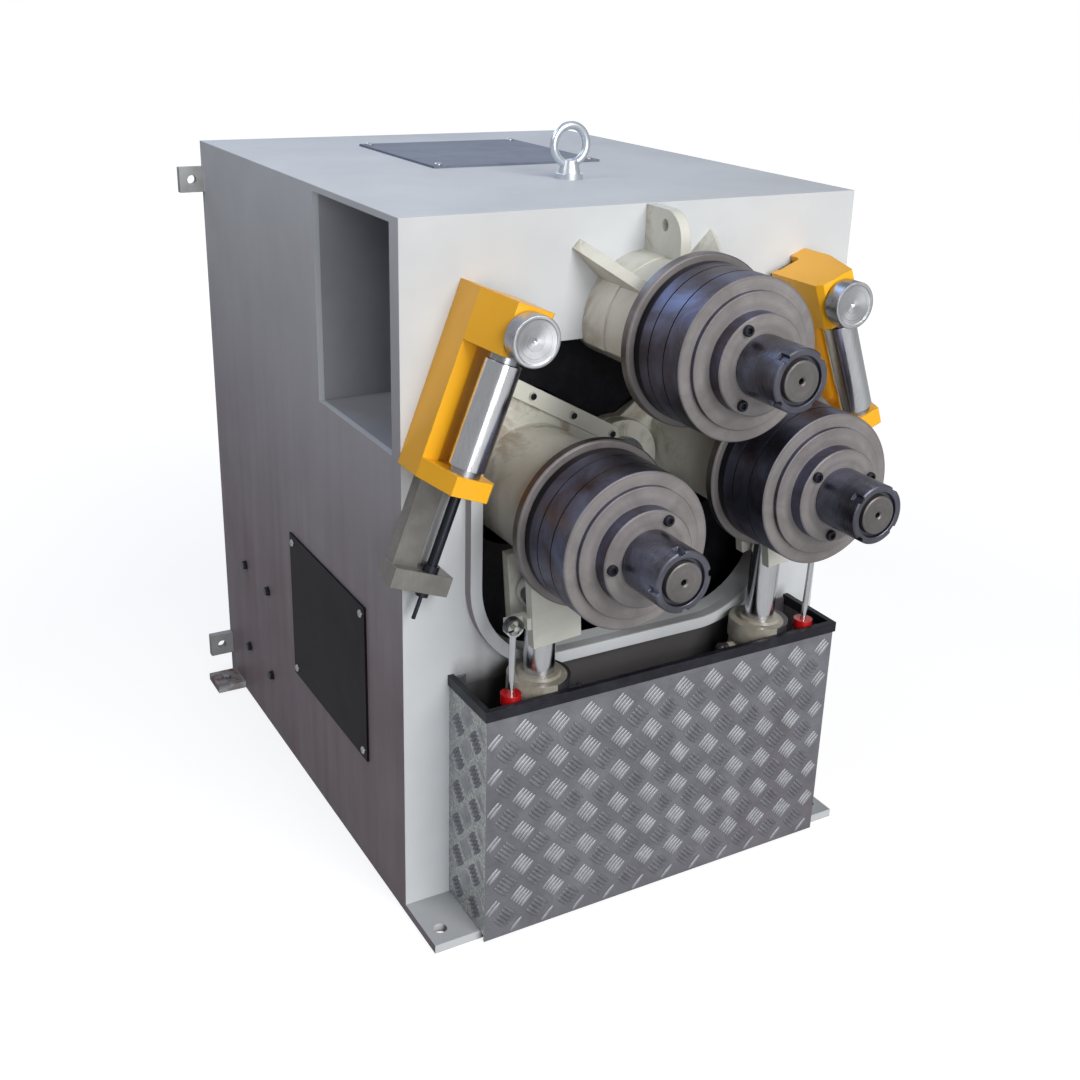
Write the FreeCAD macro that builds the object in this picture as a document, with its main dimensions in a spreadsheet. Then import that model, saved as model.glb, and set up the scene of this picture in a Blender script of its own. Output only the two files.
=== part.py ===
import FreeCAD, Part
import os
import re
import Sketcher

# Ring roller: a three-roll hydraulic section bender on a welded cabinet.
# Millimetres. X = 0 is the middle plane, Y = 0 the front plate's face (front is -Y), Z = 0 the floor.

doc = FreeCAD.newDocument("RingRoller")
V = FreeCAD.Vector

DIMS = [
    # cabinet
    ("cabinet_half", 325.0), ("cabinet_depth", 752.0), ("cabinet_top", 913.0),
    ("foot_thick", 12.0), ("foot_reach", 91.0), ("plate_thick", 25.0),
    ("side_thick", 8.0), ("roof_thick", 8.0), ("back_thick", 8.0),
    ("foot_hole_x", 305.0), ("foot_hole_y", 63.0), ("foot_hole_r", 9.0),
    ("floor_lug_out", 47.0), ("floor_lug_y", 676.0), ("floor_lug_long", 55.0),
    ("floor_lug_hole_x", 350.0), ("floor_lug_hole_y", 705.0), ("floor_lug_hole_r", 8.0),
    ("back_lug_out", 38.0), ("back_lug_tall", 38.0), ("back_lug_thick", 12.0),
    ("back_lug_hole_x", 344.0), ("back_lug_low_z", 58.0), ("back_lug_high_z", 856.0),
    ("back_lug_hole_r", 7.0),
    # side pockets
    ("pocket_rear", 264.0), ("pocket_floor", 633.0), ("pocket_depth", 100.0),
    ("pocket_wall", 3.0),
    # covers and screws
    ("cover_x_low", 116.0), ("cover_x_high", 150.0), ("cover_y_low", 354.0),
    ("cover_y_high", 622.0), ("cover_thick", 3.0),
    ("panel_y_low", 117.0), ("panel_y_high", 400.0), ("panel_z_low", 166.0),
    ("panel_z_high", 395.0), ("panel_thick", 3.0), ("screw_inset", 12.0),
    ("screw_r", 2.5), ("screw_head_r", 5.5), ("screw_head_tall", 2.5), ("screw_long", 12.0),
    ("side_bolt_r", 4.0), ("side_bolt_head_r", 8.0), ("side_bolt_head_tall", 6.0),
    ("side_bolt_y_low", 523.0), ("side_bolt_y_high", 635.0),
    ("side_bolt_z_low", 99.0), ("side_bolt_z_high", 248.0),
    # lifting eye
    ("eye_x", 15.0), ("eye_y", 212.0), ("eye_ring_r", 24.7), ("eye_wire_r", 5.4),
    ("eye_centre_up", 44.0), ("eye_neck_r", 10.0),
    ("eye_collar_r", 18.0), ("eye_shank_r", 8.0), ("eye_shank_long", 30.0),
    ("eye_boss_r", 28.0), ("eye_boss_tall", 25.0),
    # opening in the front plate
    ("opening_half", 225.0), ("opening_low", 343.0), ("opening_high", 755.0),
    ("opening_r_low", 115.0), ("opening_r_high", 80.0), ("collar_top", 690.0),
    ("collar_wide", 16.0), ("collar_out", 15.0),
    # rolls
    ("top_z", 772.0), ("pivot_z", 577.0), ("roll_arm", 135.0),
    ("left_rest", -4.2), ("right_rest", 8.6), ("swing_low", -11.0), ("swing_high", 10.0),
    ("roll_r", 94.7), ("flange_r", 103.7), ("flange_back", 112.0), ("flange_front", 126.0),
    ("roll_front", 214.0), ("hub_front", 238.0), ("hub_r", 58.0), ("face_front", 220.0), ("step_r", 79.0),
    ("shaft_r", 30.0), ("shaft_end_r", 23.2), ("shaft_front", 305.5),
    ("shaft_back", 300.0), ("shaft_collar_step", 6.0), ("shaft_collar_r", "=shaft_r+shaft_collar_step"),
    ("nut_step", 6.0), ("nut_r", "=shaft_r+nut_step"), ("nut_front", 304.0), ("nut_recess_r", 27.5),
    ("nut_recess", 6.0),
    ("nut_slot_wide", 8.0), ("nut_slot_deep", 4.0), ("nut_slot_long", 14.0),
    ("roll_screw_pcd_r", 48.5), ("roll_screw_head_r", 6.5), ("roll_screw_r", 4.0),
    ("roll_screw_head_tall", 5.0), ("roll_screw_socket_r", 3.0), ("roll_screw_deep", 30.0),
    ("top_phase", 120.0), ("left_phase", 63.0), ("right_phase", 21.0),
    # bearing housings and drives
    ("housing_front", 110.0), ("housing_back", 263.0), ("top_housing_r", 60.0), ("top_bore_r", 50.0),
    ("arm_housing_r", 78.0), ("housing_bore_r", 62.0), ("housing_lip", 12.0),
    ("bearing_wide", 36.0), ("running", 0.06), ("weld_gap", 0.2),
    ("gearbox_r", 72.0), ("gearbox_long", 120.0), ("motor_r", 42.0), ("motor_long", 105.0),
    ("hood_r", 86.0), ("hood_step", 48.0), ("hood_front", 102.0), ("hood_low", 751.0),
    ("gusset_plate_r", 140.0), ("gusset_front", 95.0), ("gusset_thick", 14.0),
    ("lift_top", 912.0), ("lift_front", 75.0), ("lift_hole_r", 7.0), ("lift_hole_y", 41.0),
    ("lift_hole_z", 893.0), ("lift_thick", 14.0), ("lift_x", 5.0), ("lift_round", 34.0),
    # inner frame and curtain
    ("frame_y", 200.0), ("frame_thick", 20.0), ("frame_step", 620.0),
    ("frame_half", "=cabinet_half-side_thick-pocket_depth-pocket_wall"),
    ("window_in", 51.0), ("window_out", 223.0), ("window_low", 461.0), ("window_high", 689.0),
    ("pivot_boss_r", 42.0), ("pivot_r", 25.0), ("pivot_cap_r", 32.0), ("pivot_cap_y", 24.0),
    ("curtain_y", 68.0), ("curtain_thick", 3.0), ("curtain_half", 300.0),
    ("curtain_low", 335.0), ("curtain_gap", 4.0), ("standoff_r", 6.0), ("standoff_x", 285.0),
    # arms
    ("left_plate_y", 31.0), ("right_plate_y", 49.0), ("arm_plate_thick", 16.0),
    ("left_rear_y", 245.0), ("right_rear_y", 225.0), ("rear_plate_thick", 18.0),
    ("arm_hub_r", 54.0), ("strip_thick", 5.0), ("strip_wide", 22.0), ("strip_lean", 33.1),
    ("strip_root", 30.3), ("strip_left_start", 14.0), ("strip_right_start", 84.0),
    ("strip_end", 205.0), ("strip_bolt_first", 20.3), ("strip_bolt_pitch", 67.3),
    ("strip_bolt_r", 5.0), ("strip_bolt_tall", 3.0),
    # forks and cylinders
    ("fork_pin_out", 172.0), ("fork_pin_down", 110.0), ("fork_pin_r", 12.0),
    ("fork_in", 139.0), ("fork_out", 206.0), ("fork_low", 160.0), ("fork_cheek", 14.0),
    ("ram_y", 56.5), ("eye_half", 19.5), ("rod_eye_r", 26.0), ("rod_eye_bore_r", 17.8),
    ("ram_foot_x", 172.0), ("ram_foot_z", 60.0), ("ram_foot_r", 22.0),
    ("rod_r", 20.0), ("barrel_r", 38.0), ("barrel_bore_r", 32.0), ("barrel_low", 26.0),
    ("gland_r", 40.5), ("gland_low", 262.0), ("gland_top", 288.0), ("gland_boss_r", 27.0),
    ("gland_boss_tall", 4.0), ("piston_tall", 24.0), ("rod_length", 337.0),
    ("fitting_r", 6.5), ("fitting_reach", 60.0), ("pipe_r", 5.0), ("pipe_drop", 46.0),
    ("pipe_bend_r", 7.5),
    # arm position sensors
    ("ball_out", 228.0), ("ball_down", 126.0), ("sensor_y", 84.0), ("sensor_foot_x", 225.0),
    ("sensor_foot_z", 60.0), ("sensor_r", 11.0), ("sensor_low", 16.0), ("sensor_top", 273.0),
    ("cap_r", 13.0), ("cap_tall", 13.0), ("sensor_rod_r", 4.0), ("sensor_rod_long", 300.0),
    ("ball_r", 12.0), ("ball_bore_r", 9.6), ("ball_half", 5.0), ("ball_pin_r", 3.0),
    # tread-plate box
    ("box_left", 262.0), ("box_right", 277.0), ("box_front", 103.5), ("box_top", 336.0),
    ("box_low", 3.0), ("box_sheet", 3.0), ("box_flange", 22.0),
    ("trim_wide", 8.0), ("trim_up", 4.0), ("trim_down", 10.0),
    # lateral guides
    ("guide_x", 262.0), ("guide_z", 707.0), ("guide_lean", 21.0), ("guide_top", 131.0),
    ("guide_low", 93.0), ("guide_left", 36.0), ("guide_front", 110.0), ("guide_side_deep", 50.0),
    ("guide_chamfer_v", 20.0), ("guide_right", 33.0), ("guide_right_back", 52.0),
    ("guide_back", 36.0), ("guide_lip", 16.5), ("guide_lip_v", 31.0), ("spine_right", 15.0),
    ("arm_low_top", 70.0), ("arm_high_low", 70.0), ("rail_left", 10.0), ("rail_right", 23.0),
    ("rail_deep", 20.0), ("rail_top", 122.0), ("rail_gap", 0.08), ("stop_low", 232.0),
    ("stop_top", 207.0), ("stop_left", 12.0), ("stop_right", 66.0), ("stop_deep", 36.0),
    ("guide_roller_r", 21.5), ("guide_roller_y", 89.0), ("guide_roller_half", 62.0),
    ("guide_axle_r", 9.0), ("guide_axle_low", 90.0), ("guide_axle_high", 84.0),
    ("washer_r", 18.0), ("washer_gap", 0.4),
    ("head_v", 4.0), ("head_u", 97.5), ("head_r", 29.5), ("head_front", 134.0),
    ("head_back", 112.0), ("head_stem_r", 8.0), ("head_stem_in", 62.0), ("head_collar_r", 13.0),
    ("screw_v", 38.0), ("screw_y", 26.0), ("guide_screw_r", 6.5), ("guide_journal_r", 5.0),
    ("guide_screw_top", 58.0), ("guide_collar_r", 10.0), ("guide_collar_tall", 9.0),
    ("guide_tail", 268.0), ("guide_tail_r", 2.5),
    # power pack
    ("tank_half", 210.0), ("tank_front", 430.0), ("tank_back", 700.0), ("tank_top", 330.0),
    ("tank_low", 40.0), ("tank_wall", 5.0), ("pump_motor_r", 75.0), ("pump_motor_tall", 220.0),
    ("pump_y", 600.0), ("pump_block", 60.0),
]

sheet = doc.addObject("Spreadsheet::Sheet", "dims")
for row, (alias, value) in enumerate(DIMS, 1):
    sheet.set("A%d" % row, alias.replace("_", " "))
    sheet.set("B%d" % row, value if isinstance(value, str) else repr(value))
    sheet.setAlias("B%d" % row, alias)
doc.recompute()
NAMES = set(alias for alias, value in DIMS)
reader = doc.addObject("App::FeaturePython", "reader")


def ex(text):
    """A sheet expression: every named value gets the sheet's prefix."""
    def name(found):
        word = found.group(0)
        return "dims." + word if word in NAMES else word
    return re.sub(r"[a-z][a-z_0-9]*", name, str(text))


def val(text):
    """The number an expression has now."""
    return float(reader.evalExpression(ex(text)))


AXES = {"x": V(1, 0, 0), "y": V(0, 1, 0), "z": V(0, 0, 1)}
RUN = {"x": FreeCAD.Rotation(V(0, 1, 0), 90), "y": FreeCAD.Rotation(V(1, 0, 0), -90),
       "z": FreeCAD.Rotation()}


def at(obj, x="0", y="0", z="0", turn=None, about="y"):
    """Set an object's place from expressions; turn is an angle about the named axis."""
    if turn is not None:
        obj.Placement = FreeCAD.Placement(V(), FreeCAD.Rotation(AXES[about], 1.0))
        obj.setExpression("Placement.Rotation.Angle", ex(turn))
    for key, text in (("x", x), ("y", y), ("z", z)):
        if str(text) != "0":
            obj.setExpression("Placement.Base." + key, ex(text))
    return obj


def box(x0, x1, y0, y1, z0, z1):
    """A block between two expressions on each axis."""
    o = doc.addObject("Part::Box", "block")
    o.setExpression("Length", ex("(%s)-(%s)" % (x1, x0)))
    o.setExpression("Width", ex("(%s)-(%s)" % (y1, y0)))
    o.setExpression("Height", ex("(%s)-(%s)" % (z1, z0)))
    return at(o, x0, y0, z0)


def rod(axis, a0, a1, c1, c2, r, r2=None):
    """A round bar, or a cone, along an axis from a0 to a1 through (c1, c2) of the other two."""
    if r2 is None:
        o = doc.addObject("Part::Cylinder", "bar")
        o.setExpression("Radius", ex(r))
    else:
        o = doc.addObject("Part::Cone", "cone")
        o.setExpression("Radius1", ex(r))
        o.setExpression("Radius2", ex(r2))
    o.setExpression("Height", ex("(%s)-(%s)" % (a1, a0)))
    o.Placement = FreeCAD.Placement(V(), RUN[axis])
    spot = {"x": (a0, c1, c2), "y": (c1, a0, c2), "z": (c1, c2, a0)}[axis]
    return at(o, *spot)


def ball(x, y, z, r):
    o = doc.addObject("Part::Sphere", "ball")
    o.setExpression("Radius", ex(r))
    return at(o, x, y, z)


def fuse(*parts):
    if len(parts) == 1:
        return parts[0]
    o = doc.addObject("Part::MultiFuse", "joined")
    o.Shapes = list(parts)
    return o


def group(*parts):
    o = doc.addObject("Part::Compound", "set")
    o.Links = list(parts)
    return o


def cut(base, *tools):
    o = doc.addObject("Part::Cut", "cut")
    o.Base = base
    o.Tool = fuse(*tools)
    return o


def sketch(body, plane, points):
    """A closed polygon whose corners are set by expressions."""
    sk = body.newObject("Sketcher::SketchObject", "profile")
    flat = [o for o in body.Origin.OriginFeatures if o.Role == plane + "_Plane"][0]
    sk.AttachmentSupport = (flat, [""])
    sk.MapMode = "FlatFace"
    spots = [(val(a), val(b)) for a, b in points]
    count = len(spots)
    for i in range(count):
        a = spots[i]
        b = spots[(i + 1) % count]
        sk.addGeometry(Part.LineSegment(V(a[0], a[1], 0), V(b[0], b[1], 0)))
    for i in range(count):
        sk.addConstraint(Sketcher.Constraint("Coincident", i, 2, (i + 1) % count, 1))
    for i, (a, b) in enumerate(points):
        for kind, text, spot, axis in (("DistanceX", a, spots[i][0], -2), ("DistanceY", b, spots[i][1], -1)):
            if str(text) == "0":
                sk.addConstraint(Sketcher.Constraint("PointOnObject", i, 1, axis))
            else:
                j = sk.addConstraint(Sketcher.Constraint(kind, -1, 1, i, 1, spot))
                sk.setExpression("Constraints[%d]" % j, ex(text))
    return sk


def plate(plane, points, low, high):
    """A flat plate: a polygon on XY, XZ or YZ, from low to high along the plane's normal."""
    body = doc.addObject("PartDesign::Body", "plate")
    sk = sketch(body, plane, points)
    pad = body.newObject("PartDesign::Pad", "pad")
    pad.Profile = sk
    pad.setExpression("Length", ex("(%s)-(%s)" % (high, low)))
    if plane == "XY":
        return at(body, z=low)
    if plane == "YZ":
        return at(body, x=low)
    return at(body, y=high)


def turned(points):
    """A lathe-turned piece about Y: corners are (y, radius)."""
    body = doc.addObject("PartDesign::Body", "turned")
    sk = sketch(body, "YZ", points)
    rev = body.newObject("PartDesign::Revolution", "revolve")
    rev.Profile = sk
    rev.ReferenceAxis = (sk, ["H_Axis"])
    rev.Angle = 360
    return body


nodes = []


def node(name, obj):
    obj.Label = name
    nodes.append(obj)
    return obj


def sided(side, low, high):
    """The X span of a piece drawn for the right (+1), mirrored for the left (-1)."""
    return (low, high) if side > 0 else ("-(%s)" % high, "-(%s)" % low)


def sx(side, text):
    return text if side > 0 else "-(%s)" % text


def mirrored(side, points):
    """Polygon corners mirrored in the first coordinate for the left."""
    return [(sx(side, a) if str(a) != "0" else "0", b) for a, b in points]


SIDES = (("left", -1), ("right", 1))

# ---------------------------------------------------------------- base plate and cabinet

foot = box("-cabinet_half", "cabinet_half", "-foot_reach", "cabinet_depth", "0", "foot_thick")
pads = [foot]
holes = []
for label, s in SIDES:
    x0, x1 = sided(s, "cabinet_half-1", "cabinet_half+floor_lug_out")
    pads.append(box(x0, x1, "floor_lug_y", "floor_lug_y+floor_lug_long", "0", "foot_thick"))
    holes.append(rod("z", "-1", "foot_thick+1", sx(s, "floor_lug_hole_x"), "floor_lug_hole_y",
                     "floor_lug_hole_r"))
    holes.append(rod("z", "-1", "foot_thick+1", sx(s, "foot_hole_x"), "-foot_hole_y", "foot_hole_r"))
node("base_plate", cut(fuse(*pads), *holes))


def contour(grow, y0, y1):
    """The opening's outline, wider by grow, between two depths."""
    half = "(opening_half+%s)" % grow
    low = "(opening_low-%s)" % grow
    high = "(opening_high+%s)" % grow
    r_low = "(opening_r_low+%s)" % grow
    r_high = "(opening_r_high+%s)" % grow
    parts = [box("-" + half, half, y0, y1, low + "+" + r_low, high + "-" + r_high),
             box("-(%s-%s)" % (half, r_low), "%s-%s" % (half, r_low), y0, y1, low, high + "-1"),
             box("-(%s-%s)" % (half, r_high), "%s-%s" % (half, r_high), y0, y1, low + "+" + r_low, high)]
    for label, s in SIDES:
        parts.append(rod("y", y0, y1, sx(s, "(%s-%s)" % (half, r_low)), low + "+" + r_low, r_low))
        parts.append(rod("y", y0, y1, sx(s, "(%s-%s)" % (half, r_high)), high + "-" + r_high, r_high))
    return fuse(*parts)


# Front plate with its opening, and the raised collar along its sides and bottom.
slab = box("-cabinet_half", "cabinet_half", "0", "plate_thick", "foot_thick", "cabinet_top")
slab = cut(slab, contour("0", "-1", "plate_thick+1"),
           rod("y", "-1", "plate_thick+1", "0", "top_z", "top_housing_r+weld_gap"))
ring = cut(contour("collar_wide", "-collar_out", "0"),
           contour("0", "-collar_out-1", "1"),
           box("-cabinet_half", "cabinet_half", "-collar_out-1", "1", "collar_top", "cabinet_top"))
pins = []
for label, s in SIDES:
    for z in ("curtain_low+14", "frame_step-22"):
        pins.append(rod("y", "plate_thick-1", "curtain_y", sx(s, "standoff_x"), z, "standoff_r"))
node("front_plate", fuse(slab, ring, *pins))

# Bent shell: two sides, roof and back, with the side pockets' windows and the rear lugs.
walls = []
gaps = []
for label, s in SIDES:
    x0, x1 = sided(s, "cabinet_half-side_thick", "cabinet_half")
    walls.append(box(x0, x1, "plate_thick", "cabinet_depth", "foot_thick", "cabinet_top"))
    x0, x1 = sided(s, "cabinet_half-side_thick-1", "cabinet_half+1")
    gaps.append(box(x0, x1, "plate_thick-1", "pocket_rear", "pocket_floor",
                    "cabinet_top-roof_thick"))
    for z in ("back_lug_low_z", "back_lug_high_z"):
        x0, x1 = sided(s, "cabinet_half-1", "cabinet_half+back_lug_out")
        walls.append(box(x0, x1, "cabinet_depth-back_lug_thick", "cabinet_depth",
                         z + "-back_lug_tall/2", z + "+back_lug_tall/2"))
        gaps.append(rod("y", "cabinet_depth-back_lug_thick-1", "cabinet_depth+1",
                        sx(s, "back_lug_hole_x"), z, "back_lug_hole_r"))
walls.append(box("-cabinet_half", "cabinet_half", "plate_thick", "cabinet_depth",
                 "cabinet_top-roof_thick", "cabinet_top"))
walls.append(box("-cabinet_half", "cabinet_half", "cabinet_depth-back_thick", "cabinet_depth",
                 "foot_thick", "cabinet_top"))
# windows under the roof cover and the side panel, and the screws' holes
gaps.append(box("-cover_x_low+24", "cover_x_high-24", "cover_y_low+24", "cover_y_high-24",
                "cabinet_top-roof_thick-1", "cabinet_top+1"))
gaps.append(box("-cabinet_half-1", "-cabinet_half+side_thick+1", "panel_y_low+24", "panel_y_high-24",
                "panel_z_low+24", "panel_z_high-24"))
gaps.append(rod("z", "cabinet_top-roof_thick-1", "cabinet_top+1", "eye_x", "eye_y", "eye_shank_r+0.5"))
roof_spots = [(x, y) for x in ("-cover_x_low+screw_inset", "cover_x_high-screw_inset")
              for y in ("cover_y_low+screw_inset", "cover_y_high-screw_inset")]
panel_spots = [(y, z) for y in ("panel_y_low+screw_inset", "panel_y_high-screw_inset")
               for z in ("panel_z_low+screw_inset", "panel_z_high-screw_inset")]
bolt_spots = [(y, z) for y in ("side_bolt_y_low", "side_bolt_y_high")
              for z in ("side_bolt_z_low", "side_bolt_z_high")]
for x, y in roof_spots:
    gaps.append(rod("z", "cabinet_top-roof_thick-1", "cabinet_top+1", x, y, "screw_r"))
for y, z in panel_spots:
    gaps.append(rod("x", "-cabinet_half-1", "-cabinet_half+side_thick+1", y, z, "screw_r"))
for y, z in bolt_spots:
    gaps.append(rod("x", "-cabinet_half-1", "-cabinet_half+side_thick+1", y, z, "side_bolt_r"))
# rows of cooling slots in the back, behind the motor
for i in range(5):
    z = "cabinet_top-250+%d" % (i * 26)
    gaps.append(box("-90", "90", "cabinet_depth-back_thick-1", "cabinet_depth+1", z, z + "+9"))
node("cabinet_shell", cut(fuse(*walls), *gaps))

# Tray that lines each side pocket: floor, inner wall and rear wall.
liners = []
for label, s in SIDES:
    x0, x1 = sided(s, "cabinet_half-side_thick-pocket_depth-pocket_wall", "cabinet_half-side_thick")
    outer = box(x0, x1, "plate_thick", "pocket_rear+pocket_wall", "pocket_floor-pocket_wall",
                "cabinet_top-roof_thick")
    x0, x1 = sided(s, "cabinet_half-side_thick-pocket_depth", "cabinet_half+1")
    inner = box(x0, x1, "plate_thick-1", "pocket_rear", "pocket_floor", "cabinet_top")
    liners.append(cut(outer, inner))
node("pocket_liners", group(*liners))

lid = box("-cover_x_low", "cover_x_high", "cover_y_low", "cover_y_high", "cabinet_top",
          "cabinet_top+cover_thick")
lid = cut(lid, *[rod("z", "cabinet_top-1", "cabinet_top+cover_thick+1", x, y, "screw_r")
                 for x, y in roof_spots])
door = box("-cabinet_half-panel_thick", "-cabinet_half", "panel_y_low", "panel_y_high",
           "panel_z_low", "panel_z_high")
door = cut(door, *[rod("x", "-cabinet_half-panel_thick-1", "-cabinet_half+1", y, z, "screw_r")
                   for y, z in panel_spots])
node("case_covers", group(lid, door))

fasteners = []
for x, y in roof_spots:
    seat = "cabinet_top+cover_thick"
    fasteners.append(fuse(rod("z", seat, seat + "+screw_head_tall", x, y, "screw_head_r", "screw_head_r*0.7"),
                          rod("z", seat + "-screw_long", seat, x, y, "screw_r")))
for y, z in panel_spots:
    seat = "-cabinet_half-panel_thick"
    fasteners.append(fuse(rod("x", seat + "-screw_head_tall", seat, y, z, "screw_head_r*0.7", "screw_head_r"),
                          rod("x", seat, seat + "+screw_long", y, z, "screw_r")))
for y, z in bolt_spots:
    seat = "-cabinet_half"
    fasteners.append(fuse(rod("x", seat + "-side_bolt_head_tall", seat, y, z, "side_bolt_head_r"),
                          rod("x", seat, seat + "+screw_long", y, z, "side_bolt_r")))
node("case_screws", group(*fasteners))

# Lifting eye: ring, neck, collar and shank in one forging.
loop = doc.addObject("Part::Torus", "loop")
loop.setExpression("Radius1", ex("eye_ring_r"))
loop.setExpression("Radius2", ex("eye_wire_r"))
loop.Placement = FreeCAD.Placement(V(), FreeCAD.Rotation(V(1, 0, 0), 90))
at(loop, "eye_x", "eye_y", "cabinet_top+eye_centre_up")
neck = cut(rod("z", "cabinet_top+7", "cabinet_top+eye_centre_up-eye_ring_r+eye_wire_r", "eye_x", "eye_y",
               "eye_collar_r-3", "eye_neck_r"),
           rod("y", "eye_y-30", "eye_y+30", "eye_x", "cabinet_top+eye_centre_up", "eye_ring_r-eye_wire_r+1"))
node("eye_bolt", fuse(loop, neck, rod("z", "cabinet_top", "cabinet_top+7", "eye_x", "eye_y", "eye_collar_r"),
                      rod("z", "cabinet_top-eye_shank_long", "cabinet_top", "eye_x", "eye_y", "eye_shank_r")))

# Inner frame: plate that carries the top housing and the pivot shaft.
wide = box("-cabinet_half+side_thick", "cabinet_half-side_thick", "frame_y", "frame_y+frame_thick",
           "foot_thick", "frame_step")
tall = box("-frame_half", "frame_half", "frame_y", "frame_y+frame_thick", "frame_step-1",
           "cabinet_top-roof_thick")
boss = rod("z", "cabinet_top-roof_thick-eye_boss_tall", "cabinet_top-roof_thick", "eye_x", "eye_y",
           "eye_boss_r")
carrier = rod("y", "right_plate_y+arm_plate_thick+2", "right_rear_y-2", "0", "pivot_z", "pivot_boss_r")
openings = []
for label, s in SIDES:
    x0, x1 = sided(s, "window_in", "window_out")
    openings.append(box(x0, x1, "frame_y-1", "frame_y+frame_thick+1", "window_low", "window_high"))
openings.append(rod("y", "frame_y-1", "frame_y+frame_thick+1", "0", "top_z", "top_housing_r+weld_gap"))
openings.append(rod("y", "right_plate_y", "right_rear_y", "0", "pivot_z", "pivot_r"))
openings.append(rod("z", "cabinet_top-eye_shank_long-1", "cabinet_top", "eye_x", "eye_y", "eye_shank_r"))
openings.append(box("-120", "120", "frame_y-1", "frame_y+frame_thick+1", "90", "380"))
node("inner_frame", cut(fuse(wide, tall, boss, carrier), *openings))

node("arm_pivot_shaft", fuse(rod("y", "left_plate_y-0.5", "housing_back+12", "0", "pivot_z", "pivot_r"),
                             rod("y", "pivot_cap_y", "left_plate_y-0.5", "0", "pivot_z", "pivot_cap_r"),
                             rod("y", "housing_back+2", "housing_back+12", "0", "pivot_z", "pivot_cap_r")))

# Rubber curtain behind the arms, cut for the housings' travel.
sheet_parts = fuse(box("-curtain_half", "curtain_half", "curtain_y", "curtain_y+curtain_thick",
                       "curtain_low", "frame_step"),
                   box("-frame_half", "frame_half", "curtain_y", "curtain_y+curtain_thick",
                       "frame_step-1", "opening_high+12"))
ways = [rod("y", "curtain_y-1", "curtain_y+curtain_thick+1", "0", "top_z", "top_housing_r+0.5"),
        rod("y", "curtain_y-1", "curtain_y+curtain_thick+1", "0", "pivot_z", "pivot_boss_r+0.3")]
for label, s in SIDES:
    for k in range(6):
        lift = "(swing_low+(swing_high-swing_low)*%g)" % (k / 5.0)
        ways.append(rod("y", "curtain_y-1", "curtain_y+curtain_thick+1",
                        sx(s, "roll_arm*cos(%s)" % lift), "pivot_z+roll_arm*sin(%s)" % lift,
                        "arm_housing_r+curtain_gap"))
node("opening_curtain", cut(sheet_parts, *ways))

# ---------------------------------------------------------------- top housing and drives


def housing(radius, bore):
    """Bearing housing about Y: front lip and open rear bore."""
    return turned([("-housing_front", "shaft_collar_r+2"), ("-housing_front", radius + "-1.5"),
                   ("-housing_front+1.5", radius), ("housing_back", radius),
                   ("housing_back", bore), ("-housing_front+housing_lip", bore),
                   ("-housing_front+housing_lip", "shaft_collar_r+2")])


tube = at(housing("top_housing_r", "top_bore_r"), z="top_z")
hood = cut(fuse(rod("y", "-hood_step", "0", "0", "top_z", "hood_r"),
                rod("y", "-hood_front+4", "-hood_step", "0", "top_z", "hood_r-2"),
                rod("y", "-hood_front", "-hood_front+4", "0", "top_z", "hood_r-6", "hood_r-2")),
           box("-hood_r-1", "hood_r+1", "-hood_front-1", "1", "top_z-hood_r-1", "hood_low"),
           rod("y", "-hood_front-1", "1", "0", "top_z", "top_housing_r-2"))
webs = []
for s in (-1, 1):
    web = plate("YZ", [("0", "hood_r-8"), ("0", "gusset_plate_r"), ("-3", "gusset_plate_r"),
                       ("-gusset_front", "hood_r+1"), ("-gusset_front", "hood_r-8")],
                "-gusset_thick/2", "gusset_thick/2")
    turned_web = at(group(web), z="top_z", turn="%d*45" % s)
    webs.append(turned_web)
low = "top_z+hood_r-8"
ends = ("lift_x-lift_thick/2", "lift_x+lift_thick/2")
lift = fuse(box(*ends, "-lift_front+lift_round", "0", low, "lift_top"),
            box(*ends, "-lift_front", "0", low, "lift_top-lift_round"),
            rod("x", *ends, "-lift_front+lift_round", "lift_top-lift_round", "lift_round"))
node("top_bearing_housing", cut(fuse(tube, hood, lift, *webs),
                                rod("x", "lift_x-lift_thick", "lift_x+lift_thick", "-lift_hole_y", "lift_hole_z",
                                    "lift_hole_r")))


def bearings(bore):
    """Front and rear roller bearing as plain rings on the shaft."""
    rings = []
    for low in ("-housing_front+housing_lip", "housing_back-bearing_wide-6"):
        rings.append(turned([(low, "shaft_r+running"), (low, bore + "-running/2"),
                             (low + "+bearing_wide", bore + "-running/2"),
                             (low + "+bearing_wide", "shaft_r+running")]))
    return group(*rings)


def gearmotor():
    """Planetary gearbox with a hydraulic motor and two ports behind it."""
    end = "housing_back+gearbox_long"
    gear = turned([("housing_back", "shaft_r+running"), ("housing_back", "gearbox_r+4"),
                   ("housing_back+14", "gearbox_r+4"), ("housing_back+14", "gearbox_r-4"),
                   (end + "-34", "gearbox_r-4"), (end + "-34", "gearbox_r"), (end, "gearbox_r"),
                   (end, "motor_r"), (end + "+motor_long", "motor_r"), (end + "+motor_long", "0"),
                   ("shaft_back+6", "0"), ("shaft_back+6", "shaft_r+running")])
    ports = [rod("z", "motor_r-6", "motor_r+12", x, end + "+60", "9") for x in ("-18", "18")]
    return fuse(gear, *ports)


node("top_bearings", at(bearings("top_bore_r"), z="top_z"))
node("top_gearmotor", at(gearmotor(), z="top_z"))

# ---------------------------------------------------------------- rolls


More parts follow.
